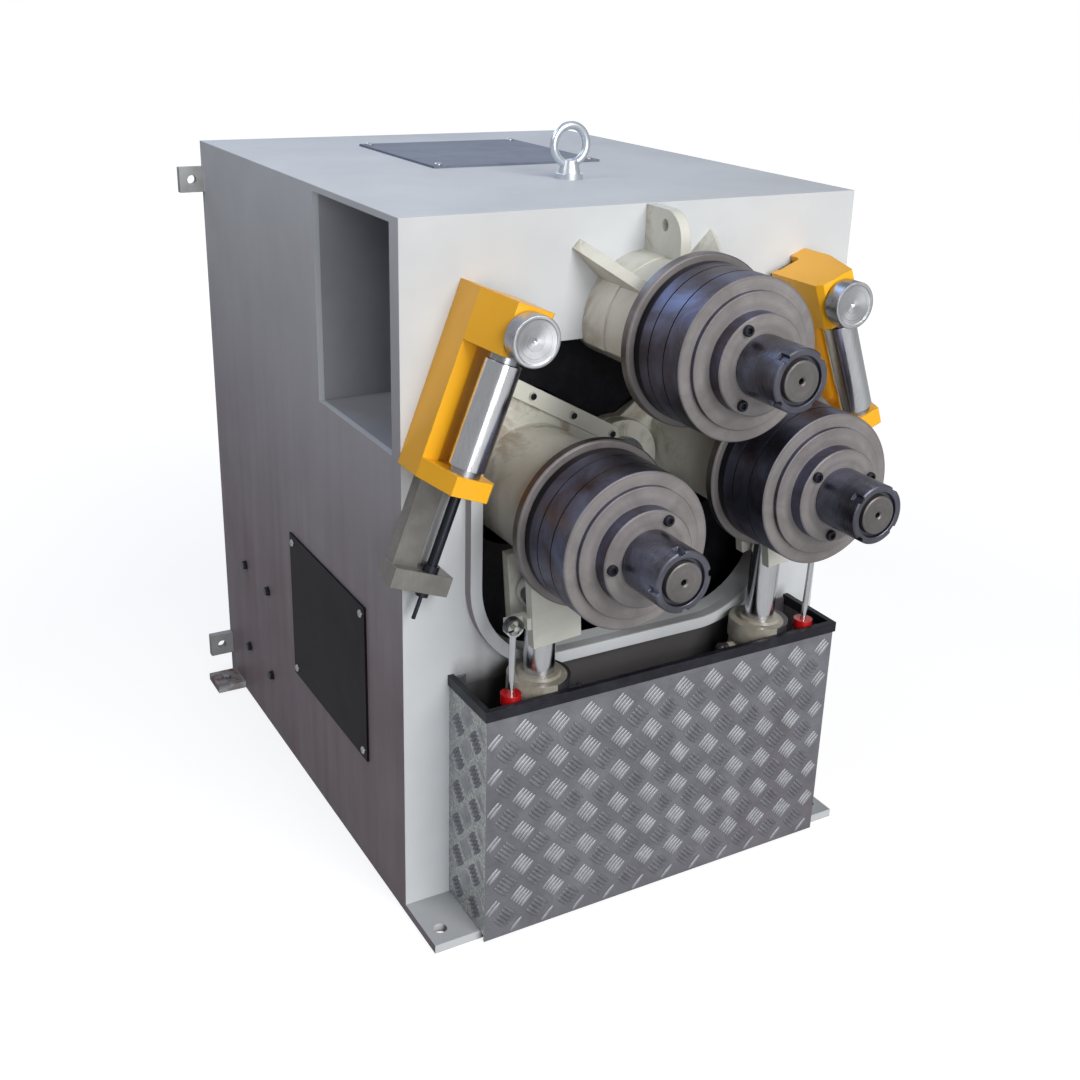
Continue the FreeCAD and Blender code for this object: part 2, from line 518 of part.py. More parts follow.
def roll_set(prefix, x, z, phase):
    """Shaft, back flange, barrel, ring nut and screws of one roll, all turning together."""
    shaft = turned([("-shaft_front+6", "0"), ("-shaft_front+3", "2"), ("-shaft_front", "5"),
                    ("-shaft_front", "shaft_end_r-1.2"), ("-shaft_front+1.2", "shaft_end_r"),
                    ("-hub_front", "shaft_end_r"), ("-hub_front", "shaft_r"),
                    ("-flange_back", "shaft_r"), ("-flange_back", "shaft_collar_r"),
                    ("-housing_front+housing_lip-1", "shaft_collar_r"),
                    ("-housing_front+housing_lip-1", "shaft_r"), ("shaft_back", "shaft_r"),
                    ("shaft_back", "0")])
    node(prefix + "_shaft", at(shaft, x=x, z=z))
    disc = turned([("-flange_front", "shaft_r"), ("-flange_front", "flange_r-2"),
                   ("-flange_front+2", "flange_r"), ("-flange_back-2", "flange_r"),
                   ("-flange_back", "flange_r-2"), ("-flange_back", "shaft_r")])
    node(prefix + "_back_disc", at(disc, x=x, z=z))
    third = "(roll_front-flange_front)/3"
    corners = [("-flange_front", "shaft_r"), ("-flange_front", "roll_r-1.5"),
               ("-flange_front-1.5", "roll_r")]
    for k in (1, 2):
        y = "-flange_front-%d*%s" % (k, third)
        corners += [(y + "+0.9", "roll_r"), (y, "roll_r-1.1"), (y + "-0.9", "roll_r")]
    corners += [("-roll_front+1.2", "roll_r"), ("-roll_front", "roll_r-1.2"), ("-roll_front", "step_r"),
                ("-face_front+0.8", "step_r"), ("-face_front", "step_r-0.8"), ("-face_front", "hub_r"),
                ("-hub_front+1.5", "hub_r"), ("-hub_front", "hub_r-1.5"), ("-hub_front", "shaft_r")]
    drum = turned(corners)
    sockets = []
    caps = []
    for k in range(3):
        angle = "(%s+%d)" % (phase, 120 * k)
        px = "roll_screw_pcd_r*cos(%s)" % angle
        pz = "roll_screw_pcd_r*sin(%s)" % angle
        sockets.append(rod("y", "-hub_front-1", "-hub_front+roll_screw_deep", px, pz, "roll_screw_r"))
        head = fuse(rod("y", "-hub_front-roll_screw_head_tall", "-hub_front", px, pz, "roll_screw_head_r"),
                    rod("y", "-hub_front", "-hub_front+roll_screw_deep", px, pz, "roll_screw_r"))
        caps.append(cut(head, rod("y", "-hub_front-roll_screw_head_tall-1", "-hub_front-1.5", px, pz,
                                  "roll_screw_socket_r")))
    node(prefix + "_barrel", at(cut(drum, *sockets), x=x, z=z))
    node(prefix + "_screws", at(group(*caps), x=x, z=z))
    nut = turned([("-hub_front", "shaft_end_r"), ("-hub_front", "nut_r"), ("-nut_front+2", "nut_r"),
                  ("-nut_front", "nut_r-2"), ("-nut_front", "nut_recess_r"),
                  ("-nut_front+nut_recess", "nut_recess_r"), ("-nut_front+nut_recess", "shaft_end_r")])
    slots = []
    for k in range(4):
        slot = box("nut_r-nut_slot_deep", "nut_r+2", "-nut_front-1", "-nut_front+nut_slot_long",
                   "-nut_slot_wide/2", "nut_slot_wide/2")
        slots.append(at(group(slot), turn="%s+%d" % (phase, 90 * k + 20)))
    node(prefix + "_nut", at(cut(nut, *slots), x=x, z=z))


roll_set("top_roll", "0", "top_z", "top_phase")

# ---------------------------------------------------------------- swing arms

for label, s in SIDES:
    rest = label + "_rest"
    turn = "%d*%s" % (-s, rest)
    front_y = label + "_plate_y"
    rear_y = label + "_rear_y"
    roll_x = sx(s, "roll_arm")
    tube = at(housing("arm_housing_r", "housing_bore_r"), x=roll_x)
    solids = [tube]
    for y0, thick in ((front_y, "arm_plate_thick"), (rear_y, "rear_plate_thick")):
        y1 = y0 + "+" + thick
        solids.append(rod("y", y0, y1, "0", "0", "arm_hub_r"))
        solids.append(plate("XZ", mirrored(s, [("0", "-arm_hub_r+1"), ("roll_arm", "-arm_housing_r-1"),
                                               ("roll_arm+70", "-32"), ("roll_arm+78", "20"),
                                               ("roll_arm+46", "112"), ("0", "46")]), y0, y1))
    # web up to the curtain strip, front only
    solids.append(plate("XZ", mirrored(s, [("0", "strip_root+13"), ("0", "0"), ("roll_arm+78", "18"),
                                           ("strip_end*cos(strip_lean)+12", "strip_end*sin(strip_lean)+33")]),
                        front_y, front_y + "+5"))
    # fork for the cylinder rod below the housing, with its pin
    x0, x1 = sided(s, "fork_in", "fork_out")
    for y0, y1 in (("-ram_y-eye_half-2-fork_cheek", "-ram_y-eye_half-2"),
                   ("-ram_y+eye_half+2", "-ram_y+eye_half+2+fork_cheek")):
        solids.append(box(x0, x1, y0, y1, "-fork_low", "-arm_housing_r+22"))
    solids.append(rod("y", "-ram_y-eye_half-12", "-ram_y+eye_half+12", sx(s, "fork_pin_out"),
                      "-fork_pin_down", "fork_pin_r"))
    # ledge and pin for the position sensor's rod end
    x0, x1 = sided(s, "fork_out", "ball_out+6")
    solids.append(box(x0, x1, "-sensor_y+ball_half+1", "-sensor_y+ball_half+9",
                      "-ball_down-8", "-ball_down+8"))
    x0, x1 = sided(s, "fork_out-1", "fork_out+6")
    solids.append(box(x0, x1, "-sensor_y-ball_half", "-sensor_y+ball_half+9",
                      "-ball_down-8", "-ball_down+8"))
    solids.append(rod("y", "-sensor_y-ball_half-3", "-sensor_y+ball_half+2", sx(s, "ball_out"),
                      "-ball_down", "ball_pin_r"))
    body = cut(fuse(*solids), rod("y", front_y + "-1", "housing_back+1", "0", "0", "pivot_r+running"),
               rod("y", "-housing_front+housing_lip", "housing_back+1", roll_x, "0", "housing_bore_r"))
    node(label + "_arm", at(body, z="pivot_z", turn=turn))
    # clamping strip with its bolts along the web's upper edge
    start = "strip_%s_start" % label
    bar = box("0", "strip_end-" + start, front_y + "-strip_thick", front_y, "-strip_wide/2", "strip_wide/2")
    studs = []
    for k in range(3 if s < 0 else 2):
        place = "strip_bolt_first+%d*strip_bolt_pitch-%s" % (k if s < 0 else k + 1, start)
        studs.append(rod("y", front_y + "-strip_thick-strip_bolt_tall", front_y + "-strip_thick", place,
                         "0", "strip_bolt_r"))
    strip = fuse(bar, *studs)
    if s < 0:
        strip = at(group(strip), x="-%s*cos(strip_lean)" % start,
                   z="strip_root+%s*sin(strip_lean)" % start, turn="180+strip_lean")
    else:
        strip = at(group(strip), x=start + "*cos(strip_lean)",
                   z="strip_root+%s*sin(strip_lean)" % start, turn="-strip_lean")
    node(label + "_curtain_strip", at(group(strip), z="pivot_z", turn=turn))
    ringset = at(bearings("housing_bore_r"), x=roll_x)
    node(label + "_bearings", at(group(ringset), z="pivot_z", turn=turn))
    drive = at(gearmotor(), x=roll_x)
    node(label + "_gearmotor", at(group(drive), z="pivot_z", turn=turn))
    roll_set(label + "_roll", sx(s, "roll_arm*cos(%s)" % rest),
             "pivot_z+roll_arm*sin(%s)" % rest, label + "_phase")

# ---------------------------------------------------------------- hydraulic cylinders


def reach(a, d, rest):
    """Where a point of an arm lies: distance out from the middle plane, and height."""
    return ("(%s*cos(%s)+%s*sin(%s))" % (a, rest, d, rest),
            "(pivot_z+%s*sin(%s)-%s*cos(%s))" % (a, rest, d, rest))


feet = []
for label, s in SIDES:
    rest = label + "_rest"
    out, up = reach("fork_pin_out", "fork_pin_down", rest)
    lean = "atan2(%s-ram_foot_x;%s-ram_foot_z)" % (out, up)
    long = "sqrt((%s-ram_foot_x)^2+(%s-ram_foot_z)^2)" % (out, up)
    pose = dict(x=sx(s, "ram_foot_x"), y="-ram_y", z="ram_foot_z", turn="%d*%s" % (s, lean))
    # barrel with base eye, gland ring and pressure fitting
    outer = fuse(rod("y", "-eye_half", "eye_half", "0", "0", "ram_foot_r"),
                 box("-ram_foot_r+6", "ram_foot_r-6", "-eye_half", "eye_half", "0", "barrel_low+4"),
                 rod("z", "barrel_low", "gland_low+2", "0", "0", "barrel_r"),
                 rod("z", "gland_low", "gland_top", "0", "0", "gland_r"),
                 rod("z", "gland_top", "gland_top+gland_boss_tall", "0", "0", "gland_boss_r+2",
                     "gland_boss_r"))
    x0, x1 = ("barrel_r-4", "fitting_reach") if s < 0 else ("-fitting_reach", "-barrel_r+4")
    tip = "fitting_reach" if s < 0 else "-fitting_reach"
    pipe = fuse(rod("x", x0, x1, "0", "gland_low-10", "fitting_r"),
                ball(tip, "0", "gland_low-10", "pipe_bend_r"),
                rod("z", "gland_low-10-pipe_drop", "gland_low-10", tip, "0", "pipe_r"))
    barrel = cut(fuse(outer, pipe), rod("z", "barrel_low+10", "gland_low+4", "0", "0", "barrel_bore_r"),
                 rod("z", "gland_low", "gland_top+gland_boss_tall+1", "0", "0", "rod_r+running"),
                 rod("y", "-eye_half-1", "eye_half+1", "0", "0", "fork_pin_r+running"))
    node(label + "_cylinder", at(barrel, **pose))
    # rod with its piston and eye, drawn from the eye downwards
    stem = fuse(rod("y", "-eye_half", "eye_half", "0", "0", "rod_eye_r"),
                rod("z", "-rod_length+1", "-rod_eye_bore_r", "0", "0", "rod_r"),
                rod("z", "-rod_length", "-rod_length+piston_tall", "0", "0", "barrel_bore_r-running"))
    stem = cut(stem, rod("y", "-eye_half-1", "eye_half+1", "0", "0", "rod_eye_bore_r"))
    raised = at(group(stem), z=long)
    node(label + "_piston_rod", at(group(raised), **pose))

    # sensor tube with its cap, and its rod with the rod end
    out, up = reach("ball_out", "ball_down", rest)
    lean = "atan2(%s-sensor_foot_x;%s-sensor_foot_z)" % (out, up)
    long = "sqrt((%s-sensor_foot_x)^2+(%s-sensor_foot_z)^2)" % (out, up)
    pose = dict(x=sx(s, "sensor_foot_x"), y="-sensor_y", z="sensor_foot_z", turn="%d*%s" % (s, lean))
    case = fuse(rod("y", "-ball_half", "ball_half", "0", "0", "ball_r-2"),
                rod("z", "ball_pin_r+2", "sensor_low+2", "0", "0", "ball_half-1"),
                rod("z", "sensor_low", "sensor_top", "0", "0", "sensor_r"),
                rod("z", "sensor_top", "sensor_top+cap_tall", "0", "0", "cap_r"))
    case = cut(case, rod("z", "sensor_low+6", "sensor_top-6", "0", "0", "sensor_r-3"),
               rod("z", "sensor_top-8", "sensor_top+cap_tall+1", "0", "0", "sensor_rod_r+running"),
               rod("y", "-ball_half-1", "ball_half+1", "0", "0", "ball_pin_r+running"))
    node(label + "_sensor_tube", at(case, **pose))
    wire = cut(fuse(rod("y", "-ball_half", "ball_half", "0", "0", "ball_r"),
                    rod("z", "-sensor_rod_long", "-ball_bore_r", "0", "0", "sensor_rod_r")),
               rod("y", "-ball_half-1", "ball_half+1", "0", "0", "ball_bore_r"))
    raised = at(group(wire), z=long)
    node(label + "_sensor_rod", at(group(raised), **pose))

    # clevis and pins on the base plate
    x0, x1 = sided(s, "ram_foot_x-ram_foot_r", "ram_foot_x+ram_foot_r")
    for y0, y1 in (("-ram_y-eye_half-11", "-ram_y-eye_half-1"), ("-ram_y+eye_half+1", "-ram_y+eye_half+11")):
        feet.append(box(x0, x1, y0, y1, "foot_thick", "ram_foot_z+20"))
    feet.append(rod("y", "-ram_y-eye_half-11", "-ram_y+eye_half+11", sx(s, "ram_foot_x"), "ram_foot_z",
                    "fork_pin_r"))
    x0, x1 = sided(s, "sensor_foot_x-10", "sensor_foot_x+10")
    feet.append(box(x0, x1, "-sensor_y+ball_half+1", "-sensor_y+ball_half+9", "foot_thick",
                    "sensor_foot_z+10"))
    feet.append(rod("y", "-sensor_y-ball_half-2", "-sensor_y+ball_half+2", sx(s, "sensor_foot_x"),
                    "sensor_foot_z", "ball_pin_r"))
node("cylinder_feet", fuse(*feet))

# ---------------------------------------------------------------- tread-plate box

shell = cut(box("-box_left", "box_right", "-box_front", "0", "foot_thick", "box_top"),
            box("-box_left+box_sheet", "box_right-box_sheet", "-box_front+box_sheet", "1",
                "foot_thick-1", "box_top+1"))
apron = box("-box_left", "box_right", "-box_front", "-box_front+box_sheet", "box_low", "foot_thick+1")
tabs = [box("-box_left", "-box_left+box_flange", "-box_sheet", "0", "foot_thick", "box_top"),
        box("box_right-box_flange", "box_right", "-box_sheet", "0", "foot_thick", "box_top")]
node("treadplate_box", fuse(shell, apron, *tabs))

over = "(trim_wide-box_sheet)/2"
band = cut(box("-box_left-" + over, "box_right+" + over, "-box_front-" + over, "0",
               "box_top-trim_down", "box_top+trim_up"),
           box("-box_left+box_sheet+" + over, "box_right-box_sheet-" + over,
               "-box_front+box_sheet+" + over, "1", "box_top-trim_down-1", "box_top+trim_up+1"))
groove = cut(box("-box_left", "box_right", "-box_front", "1", "box_top-trim_down-1", "box_top"),
             box("-box_left+box_sheet", "box_right-box_sheet", "-box_front+box_sheet", "1",
                 "box_top-trim_down-2", "box_top+1"))
notches = [box("-box_left+box_sheet-0.1", "-box_left+box_flange+1", "-box_sheet", "1",
               "box_top-trim_down-1", "box_top"),
           box("box_right-box_flange-1", "box_right-box_sheet+0.1", "-box_sheet", "1",
               "box_top-trim_down-1", "box_top")]
node("box_edge_trim", cut(band, groove, *notches))

# ---------------------------------------------------------------- lateral guides

for label, s in SIDES:
    # drawn upright beside the middle of the roller: X outboard to inboard, Z along the slide
    pose = dict(x=sx(s, "guide_x"), z="guide_z", turn="%d*guide_lean" % (-s))
    m = -s

    def span(low, high):
        return (low, high) if m > 0 else ("-(%s)" % high, "-(%s)" % low)

    def spot(text):
        return text if m > 0 else "-(%s)" % text

    # rail on the front plate with the screw's stop block
    x0, x1 = span("-rail_left", "rail_right")
    rail = box(x0, x1, "-rail_deep", "0", "-stop_top-1", "rail_top")
    x0, x1 = span("-stop_left", "stop_right")
    block = box(x0, x1, "-stop_deep", "0", "-stop_low", "-stop_top")
    rail = cut(fuse(rail, block), rod("z", "-stop_low-1", "-stop_top+1", spot("screw_v"), "-screw_y",
                                      "guide_journal_r+running"))
    node(label + "_guide_bar", at(rail, **pose))

    # bracket: spine, back plate and the two arms that hold the roller
    x0, x1 = span("-guide_left", "-spine_right")
    solids = [box(x0, x1, "-guide_side_deep", "0", "-guide_low", "guide_top")]
    x0, x1 = span("-guide_left", "guide_lip_v")
    solids.append(box(x0, x1, "-guide_back", "-guide_lip", "-guide_low", "guide_top"))
    wedge = [("-guide_left", "-1"), ("-guide_left", "-guide_side_deep"),
             ("-guide_chamfer_v", "-guide_front"), ("guide_right-6", "-guide_front"),
             ("guide_right", "-guide_front+8"), ("guide_right", "-guide_lip"), ("-rail_left-2", "-guide_lip"),
             ("-rail_left-2", "-1")]
    if m < 0:
        wedge = [("-(%s)" % a, b) for a, b in wedge]
    solids.append(plate("XY", wedge, "-guide_low", "-arm_low_top"))
    solids.append(plate("XY", wedge, "arm_high_low", "guide_top"))
    x0, x1 = span("0", "guide_right_back")
    solids.append(box(x0, x1, "-guide_back", "-guide_lip", "-guide_low", "-arm_low_top"))
    x0, x1 = span("-rail_left-rail_gap", "rail_right+rail_gap")
    tools = [box(x0, x1, "-rail_deep-rail_gap", "1", "-guide_low-1", "guide_top+1"),
             rod("z", "-guide_axle_low", "guide_axle_high", "0", "-guide_roller_y", "guide_axle_r"),
             rod("y", "-guide_front-1", "-head_stem_in+1", spot("head_v"), "head_u",
                 "head_stem_r+running"),
             rod("z", "-guide_low-1", "-arm_low_top+1", spot("screw_v"), "-screw_y",
                 "guide_screw_r+running")]
    node(label + "_guide_bracket", at(cut(fuse(*solids), *tools), **pose))

    # axle with two washers, the chrome roller on it, and the front head
    axle = fuse(rod("z", "-guide_axle_low", "guide_axle_high", "0", "-guide_roller_y", "guide_axle_r"),
                rod("z", "-arm_low_top", "-guide_roller_half-washer_gap", "0", "-guide_roller_y", "washer_r"),
                rod("z", "guide_roller_half+washer_gap", "arm_high_low", "0", "-guide_roller_y", "washer_r"))
    node(label + "_guide_axle", at(axle, **pose))
    sleeve = cut(rod("z", "-guide_roller_half", "guide_roller_half", "0", "-guide_roller_y",
                     "guide_roller_r"),
                 rod("z", "-guide_roller_half-1", "guide_roller_half+1", "0", "-guide_roller_y",
                     "guide_axle_r+running"))
    node(label + "_guide_roller", at(sleeve, **pose))
    knob = turned([("-head_front+7", "0"), ("-head_front+5", "3"), ("-head_front+1", "head_r-5"),
                   ("-head_front", "head_r-4"), ("-head_front", "head_r-1"), ("-head_front+1", "head_r"),
                   ("-head_back-1", "head_r"), ("-head_back", "head_r-1"), ("-head_back", "head_collar_r"),
                   ("-guide_front-0.1", "head_collar_r"), ("-guide_front-0.1", "head_stem_r"),
                   ("-head_stem_in", "head_stem_r"), ("-head_stem_in", "0")])
    placed = at(group(knob), x=spot("head_v"), z="head_u")
    node(label + "_guide_head", at(group(placed), **pose))

    # adjusting screw: journal in the stop block, collar, thread up into the bracket
    vx = spot("screw_v")
    screw = fuse(rod("z", "-guide_tail", "-stop_low-1", vx, "-screw_y", "guide_tail_r"),
                 rod("z", "-stop_low-6", "-stop_low-0.1", vx, "-screw_y", "guide_journal_r+3"),
                 rod("z", "-stop_low-1", "-stop_top+1", vx, "-screw_y", "guide_journal_r"),
                 rod("z", "-stop_top+0.1", "-stop_top+guide_collar_tall", vx, "-screw_y", "guide_collar_r"),
                 rod("z", "-stop_top+guide_collar_tall-1", "-guide_screw_top", vx, "-screw_y",
                     "guide_screw_r"))
    node(label + "_guide_screw", at(screw, **pose))

# ---------------------------------------------------------------- power pack

shell = cut(box("-tank_half", "tank_half", "tank_front", "tank_back", "tank_low", "tank_top-10"),
            box("-tank_half+tank_wall", "tank_half-tank_wall", "tank_front+tank_wall",
                "tank_back-tank_wall", "tank_low+tank_wall", "tank_top-9"))
tank = fuse(shell,
            box("-tank_half-8", "tank_half+8", "tank_front-8", "tank_back+8", "tank_top-10", "tank_top"),
            *[box(x0, x1, y0, y1, "foot_thick", "tank_low")
              for x0, x1 in (("-tank_half", "-tank_half+40"), ("tank_half-40", "tank_half"))
              for y0, y1 in (("tank_front", "tank_front+40"), ("tank_back-40", "tank_back"))])
node("power_pack", fuse(tank,
                        rod("z", "tank_top", "tank_top+14", "-40", "pump_y", "pump_motor_r+12"),
                        rod("z", "tank_top+14", "tank_top+pump_motor_tall", "-40", "pump_y", "pump_motor_r"),
                        rod("z", "tank_top+pump_motor_tall", "tank_top+pump_motor_tall+22", "-40", "pump_y",
                            "pump_motor_r-6"),
                        box("90", "90+2*pump_block", "pump_y-pump_block/2", "pump_y+pump_block/2", "tank_top",
                            "tank_top+pump_block")))

# ---------------------------------------------------------------- export

doc.recompute()
os.makedirs("parts", exist_ok=True)
for obj in doc.Objects:
    if "Invalid" in obj.State or "Error" in obj.State:
        raise RuntimeError("%s (%s): %s" % (obj.Name, obj.Label, obj.State))
for obj in nodes:
    shape = obj.Shape
    if shape.isNull() or not shape.isValid() or not shape.Solids:
        raise RuntimeError("bad shape: " + obj.Label)
    shape.exportStep("parts/%s.step" % obj.Label)
    print("%-24s solids %d volume %.0f" % (obj.Label, len(shape.Solids), shape.Volume))
print(len(nodes), "nodes")
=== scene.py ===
import math

import bmesh
import bpy
from mathutils import Matrix, Vector


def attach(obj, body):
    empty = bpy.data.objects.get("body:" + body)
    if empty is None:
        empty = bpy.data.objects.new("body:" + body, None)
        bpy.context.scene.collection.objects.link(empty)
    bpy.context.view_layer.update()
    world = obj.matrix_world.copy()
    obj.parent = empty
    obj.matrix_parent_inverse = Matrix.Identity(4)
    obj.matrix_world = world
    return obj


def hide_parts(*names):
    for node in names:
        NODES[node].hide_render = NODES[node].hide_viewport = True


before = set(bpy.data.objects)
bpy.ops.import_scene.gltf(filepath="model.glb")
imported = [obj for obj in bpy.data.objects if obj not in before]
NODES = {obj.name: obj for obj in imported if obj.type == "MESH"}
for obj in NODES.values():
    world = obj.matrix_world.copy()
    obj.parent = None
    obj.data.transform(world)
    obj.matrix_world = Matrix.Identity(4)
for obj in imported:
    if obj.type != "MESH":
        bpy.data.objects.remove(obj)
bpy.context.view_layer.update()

# Places and sizes of the machine's main parts, in metres. X runs right, Y back and Z up.
CASE_SIDE, FOOT_TOP, ROOF_NEAR = 0.325, 0.012, 0.9
PLATE_BACK, OPENING_SIDE = 0.025, 0.225
POCKET_WALL, POCKET_FLOOR = 0.217, 0.633
COVER_TOP, PANEL_FACE = 0.916, -0.328
GUARD = dict(left=-0.262, right=0.277, front=-0.1035, low=0.003, top=0.336)
RAM_OUT, RAM_Y, GLAND_RADIUS = 0.172, -0.0565, 0.0405
ROD_END_LOW = 0.4305

# The arms swing about the pivot, and each roll stands at the end of its arm.
PIVOT = Vector((0.0, 0.0, 0.577))
ARM_LENGTH = 0.135
LEFT_REST, RIGHT_REST = math.radians(-4.2), math.radians(8.6)
ROLLS = {       # the centre, and the angle of the first cap screw in degrees
    "top_roll": (Vector((0.0, 0.0, 0.772)), 120.0),
    "left_roll": (PIVOT + Vector((-ARM_LENGTH * math.cos(LEFT_REST), 0,
                                  ARM_LENGTH * math.sin(LEFT_REST))), 63.0),
    "right_roll": (PIVOT + Vector((ARM_LENGTH * math.cos(RIGHT_REST), 0,
                                   ARM_LENGTH * math.sin(RIGHT_REST))), 21.0),
}
# the last value marks where painted shade on the barrel begins, reaching back to the flange
ROLL_RADIUS, ROLL_FRONT, ROLL_RECESS_SHADE = 0.0947, -0.214, -0.1375
HUB_FRONT, CAP_CIRCLE = -0.238, 0.0485


def srgb(r, g, b):
    """A paint-card colour, 0 to 255, as linear light."""
    return tuple(((c / 255 + 0.055) / 1.055) ** 2.4 if c > 10 else c / 255 / 12.92 for c in (r, g, b))


def shade(colour, factor):
    return tuple(c * factor for c in colour)


# ------------------------------------------------------------------ nodes


def feed(tree, socket, value):
    """Another node's output is linked to the socket, and a plain value is set on it."""
    if isinstance(value, bpy.types.NodeSocket):
        tree.links.new(value, socket)
    else:
        socket.default_value = value


def node(tree, kind, inputs=None, **props):
    """A new node with its properties set and its inputs fed."""
    n = tree.nodes.new(kind)
    for key, value in props.items():
        setattr(n, key, value)
    for key, value in (inputs or {}).items():
        feed(tree, n.inputs[key], value)
    return n


class Finish:
    """A node-based material with short words for the nodes it is made of."""

    EDGE_FLAT, EDGE_SHARP = 0.02, 0.25

    def __init__(self, name, colour, rough=0.5, metal=0.0, **sockets):
        self.material = bpy.data.materials.new(name)
        self.material.use_nodes = True
        self.tree = self.material.node_tree
        self.shader = self.tree.nodes["Principled BSDF"]
        self.own = self.tree.nodes.new("ShaderNodeTexCoord")
        self.place = self.own.outputs["Object"]
        self.set("Base Color", (*colour, 1.0))
        self.set("Roughness", rough)
        self.set("Metallic", metal)
        for key, value in sockets.items():
            self.set(key.replace("_", " ").title().replace("Ior", "IOR"), value)

    def set(self, socket, value):
        feed(self.tree, self.shader.inputs[socket], value)

    def add(self, kind, inputs=None, out=0, **props):
        return node(self.tree, "ShaderNode" + kind, inputs, **props).outputs[out]

    def moved(self, centre=(0, 0, 0), scale=(1, 1, 1)):
        return self.add("Mapping", {"Vector": self.place, "Location": centre, "Scale": scale},
                        vector_type="TEXTURE")

    def noise(self, scale, detail=3.0, rough=0.5, place=None, warp=0.0):
        return self.add("TexNoise", {"Vector": place or self.place, "Scale": scale, "Detail": detail,
                                     "Roughness": rough, "Distortion": warp})

    def rings(self, along, scale, detail, rough):
        """Noise that changes only with the given distance."""
        return self.add("TexNoise", {"W": along, "Scale": scale, "Detail": detail, "Roughness": rough},
                        noise_dimensions="1D")

    def streaks(self, waves, detail=4, rough=0.6):
        """Noise drawn out, with its own number of waves a metre along each axis."""
        return self.noise(1.0, detail, rough, self.moved(scale=tuple(1.0 / w for w in waves)))

    def calc(self, how, a, b=0.0):
        return self.add("Math", {0: a, 1: b}, operation=how)

    def times(self, *factors):
        product = factors[0]
        for factor in factors[1:]:
            product = self.calc("MULTIPLY", product, factor)
        return product

    def over(self, value, limit):
        return self.calc("GREATER_THAN", value, limit)

    def under(self, value, limit):
        return self.calc("LESS_THAN", value, limit)

    def magnitude(self, value):
        return self.calc("ABSOLUTE", value)

    def radius(self, a, b):
        return self.calc("SQRT", self.calc("ADD", self.times(a, a), self.times(b, b)))

    def span(self, value, low, high, to_low=0.0, to_high=1.0):
        return self.add("MapRange", {"Value": value, "From Min": low, "From Max": high,
                                     "To Min": to_low, "To Max": to_high})

    def blend(self, amount, one, two):
        """The first colour, turning into the second as the amount goes from 0 to 1."""
        one, two = [c if isinstance(c, bpy.types.NodeSocket) else (*c, 1.0) for c in (one, two)]
        return self.add("Mix", {0: amount, 6: one, 7: two}, out=2, data_type="RGBA")

    def bump(self, height, strength, distance, base=None):
        inputs = {"Height": height, "Strength": strength, "Distance": distance}
        if base is not None:
            inputs["Normal"] = base
        return self.add("Bump", inputs)

    def soft_edge(self, radius):
        return self.add("Bevel", {"Radius": radius}, samples=4)

    def edge(self, radius):
        """1 along sharp edges, fading out over the radius."""
        flat = node(self.tree, "ShaderNodeNewGeometry").outputs["True Normal"]
        same = self.add("VectorMath", {0: self.soft_edge(radius), 1: flat}, out=1, operation="DOT_PRODUCT")
        return self.span(self.calc("SUBTRACT", 1.0, same), self.EDGE_FLAT, self.EDGE_SHARP)

    def axes(self, place=None):
        return node(self.tree, "ShaderNodeSeparateXYZ", {0: place or self.place}).outputs

    def normal(self):
        """The three parts of the direction that the surface faces."""
        return self.axes(self.own.outputs["Normal"])

    def orange_peel(self, strength=0.10, rounding=0.0012, fine=520.0, waves=0.05):
        """The skin of sprayed paint: fine dimples over slow waves, on softened edges."""
        dimples = self.bump(self.noise(fine, 2), strength, 0.0006, self.soft_edge(rounding))
        self.set("Normal", self.bump(self.noise(26.0, 2), waves, 0.004, dimples))


# ------------------------------------------------------------------ finishes

CREAM = srgb(214, 214, 204)
CABINET = srgb(203, 206, 209)
STEEL_DARK, STEEL_LIGHT = (0.200, 0.184, 0.184), (0.325, 0.302, 0.300)
# the blued tone of the barrels is made bluer as painted sky reflection
BROWN, BLUED_AND_SKY_SHEEN = (0.066, 0.048, 0.047), (0.130, 0.145, 0.230)


def paint(name, colour, rough=0.36, texture=0.10, wear=None, wear_size=0.0015, grime=0.10, coat=0.0):
    """Sprayed machine enamel: orange peel, slight unevenness, worn edges."""
    f = Finish(name, colour, rough, coat_weight=coat, coat_roughness=0.12)
    darker, lighter = shade(colour, 1 - grime * 1.6), shade(colour, 1 + grime * 0.5)
    tone = f.blend(f.span(f.noise(3.2, 4, 0.6), 0.35, 0.68), darker, lighter)
    tone = f.blend(f.span(f.noise(42.0, 3, 0.55), 0.58, 0.80, 0.0, 0.30), tone, darker)
    if wear is not None:
        chips = f.span(f.noise(130.0, 5, 0.65), 0.44, 0.56)
        tone = f.blend(f.times(f.edge(wear_size), chips), tone, wear)
    f.set("Base Color", tone)
    f.set("Roughness", f.span(f.noise(11.0, 4, 0.6), 0.3, 0.7, rough - 0.06, rough + 0.09))
    f.orange_peel(texture)
    return f.material


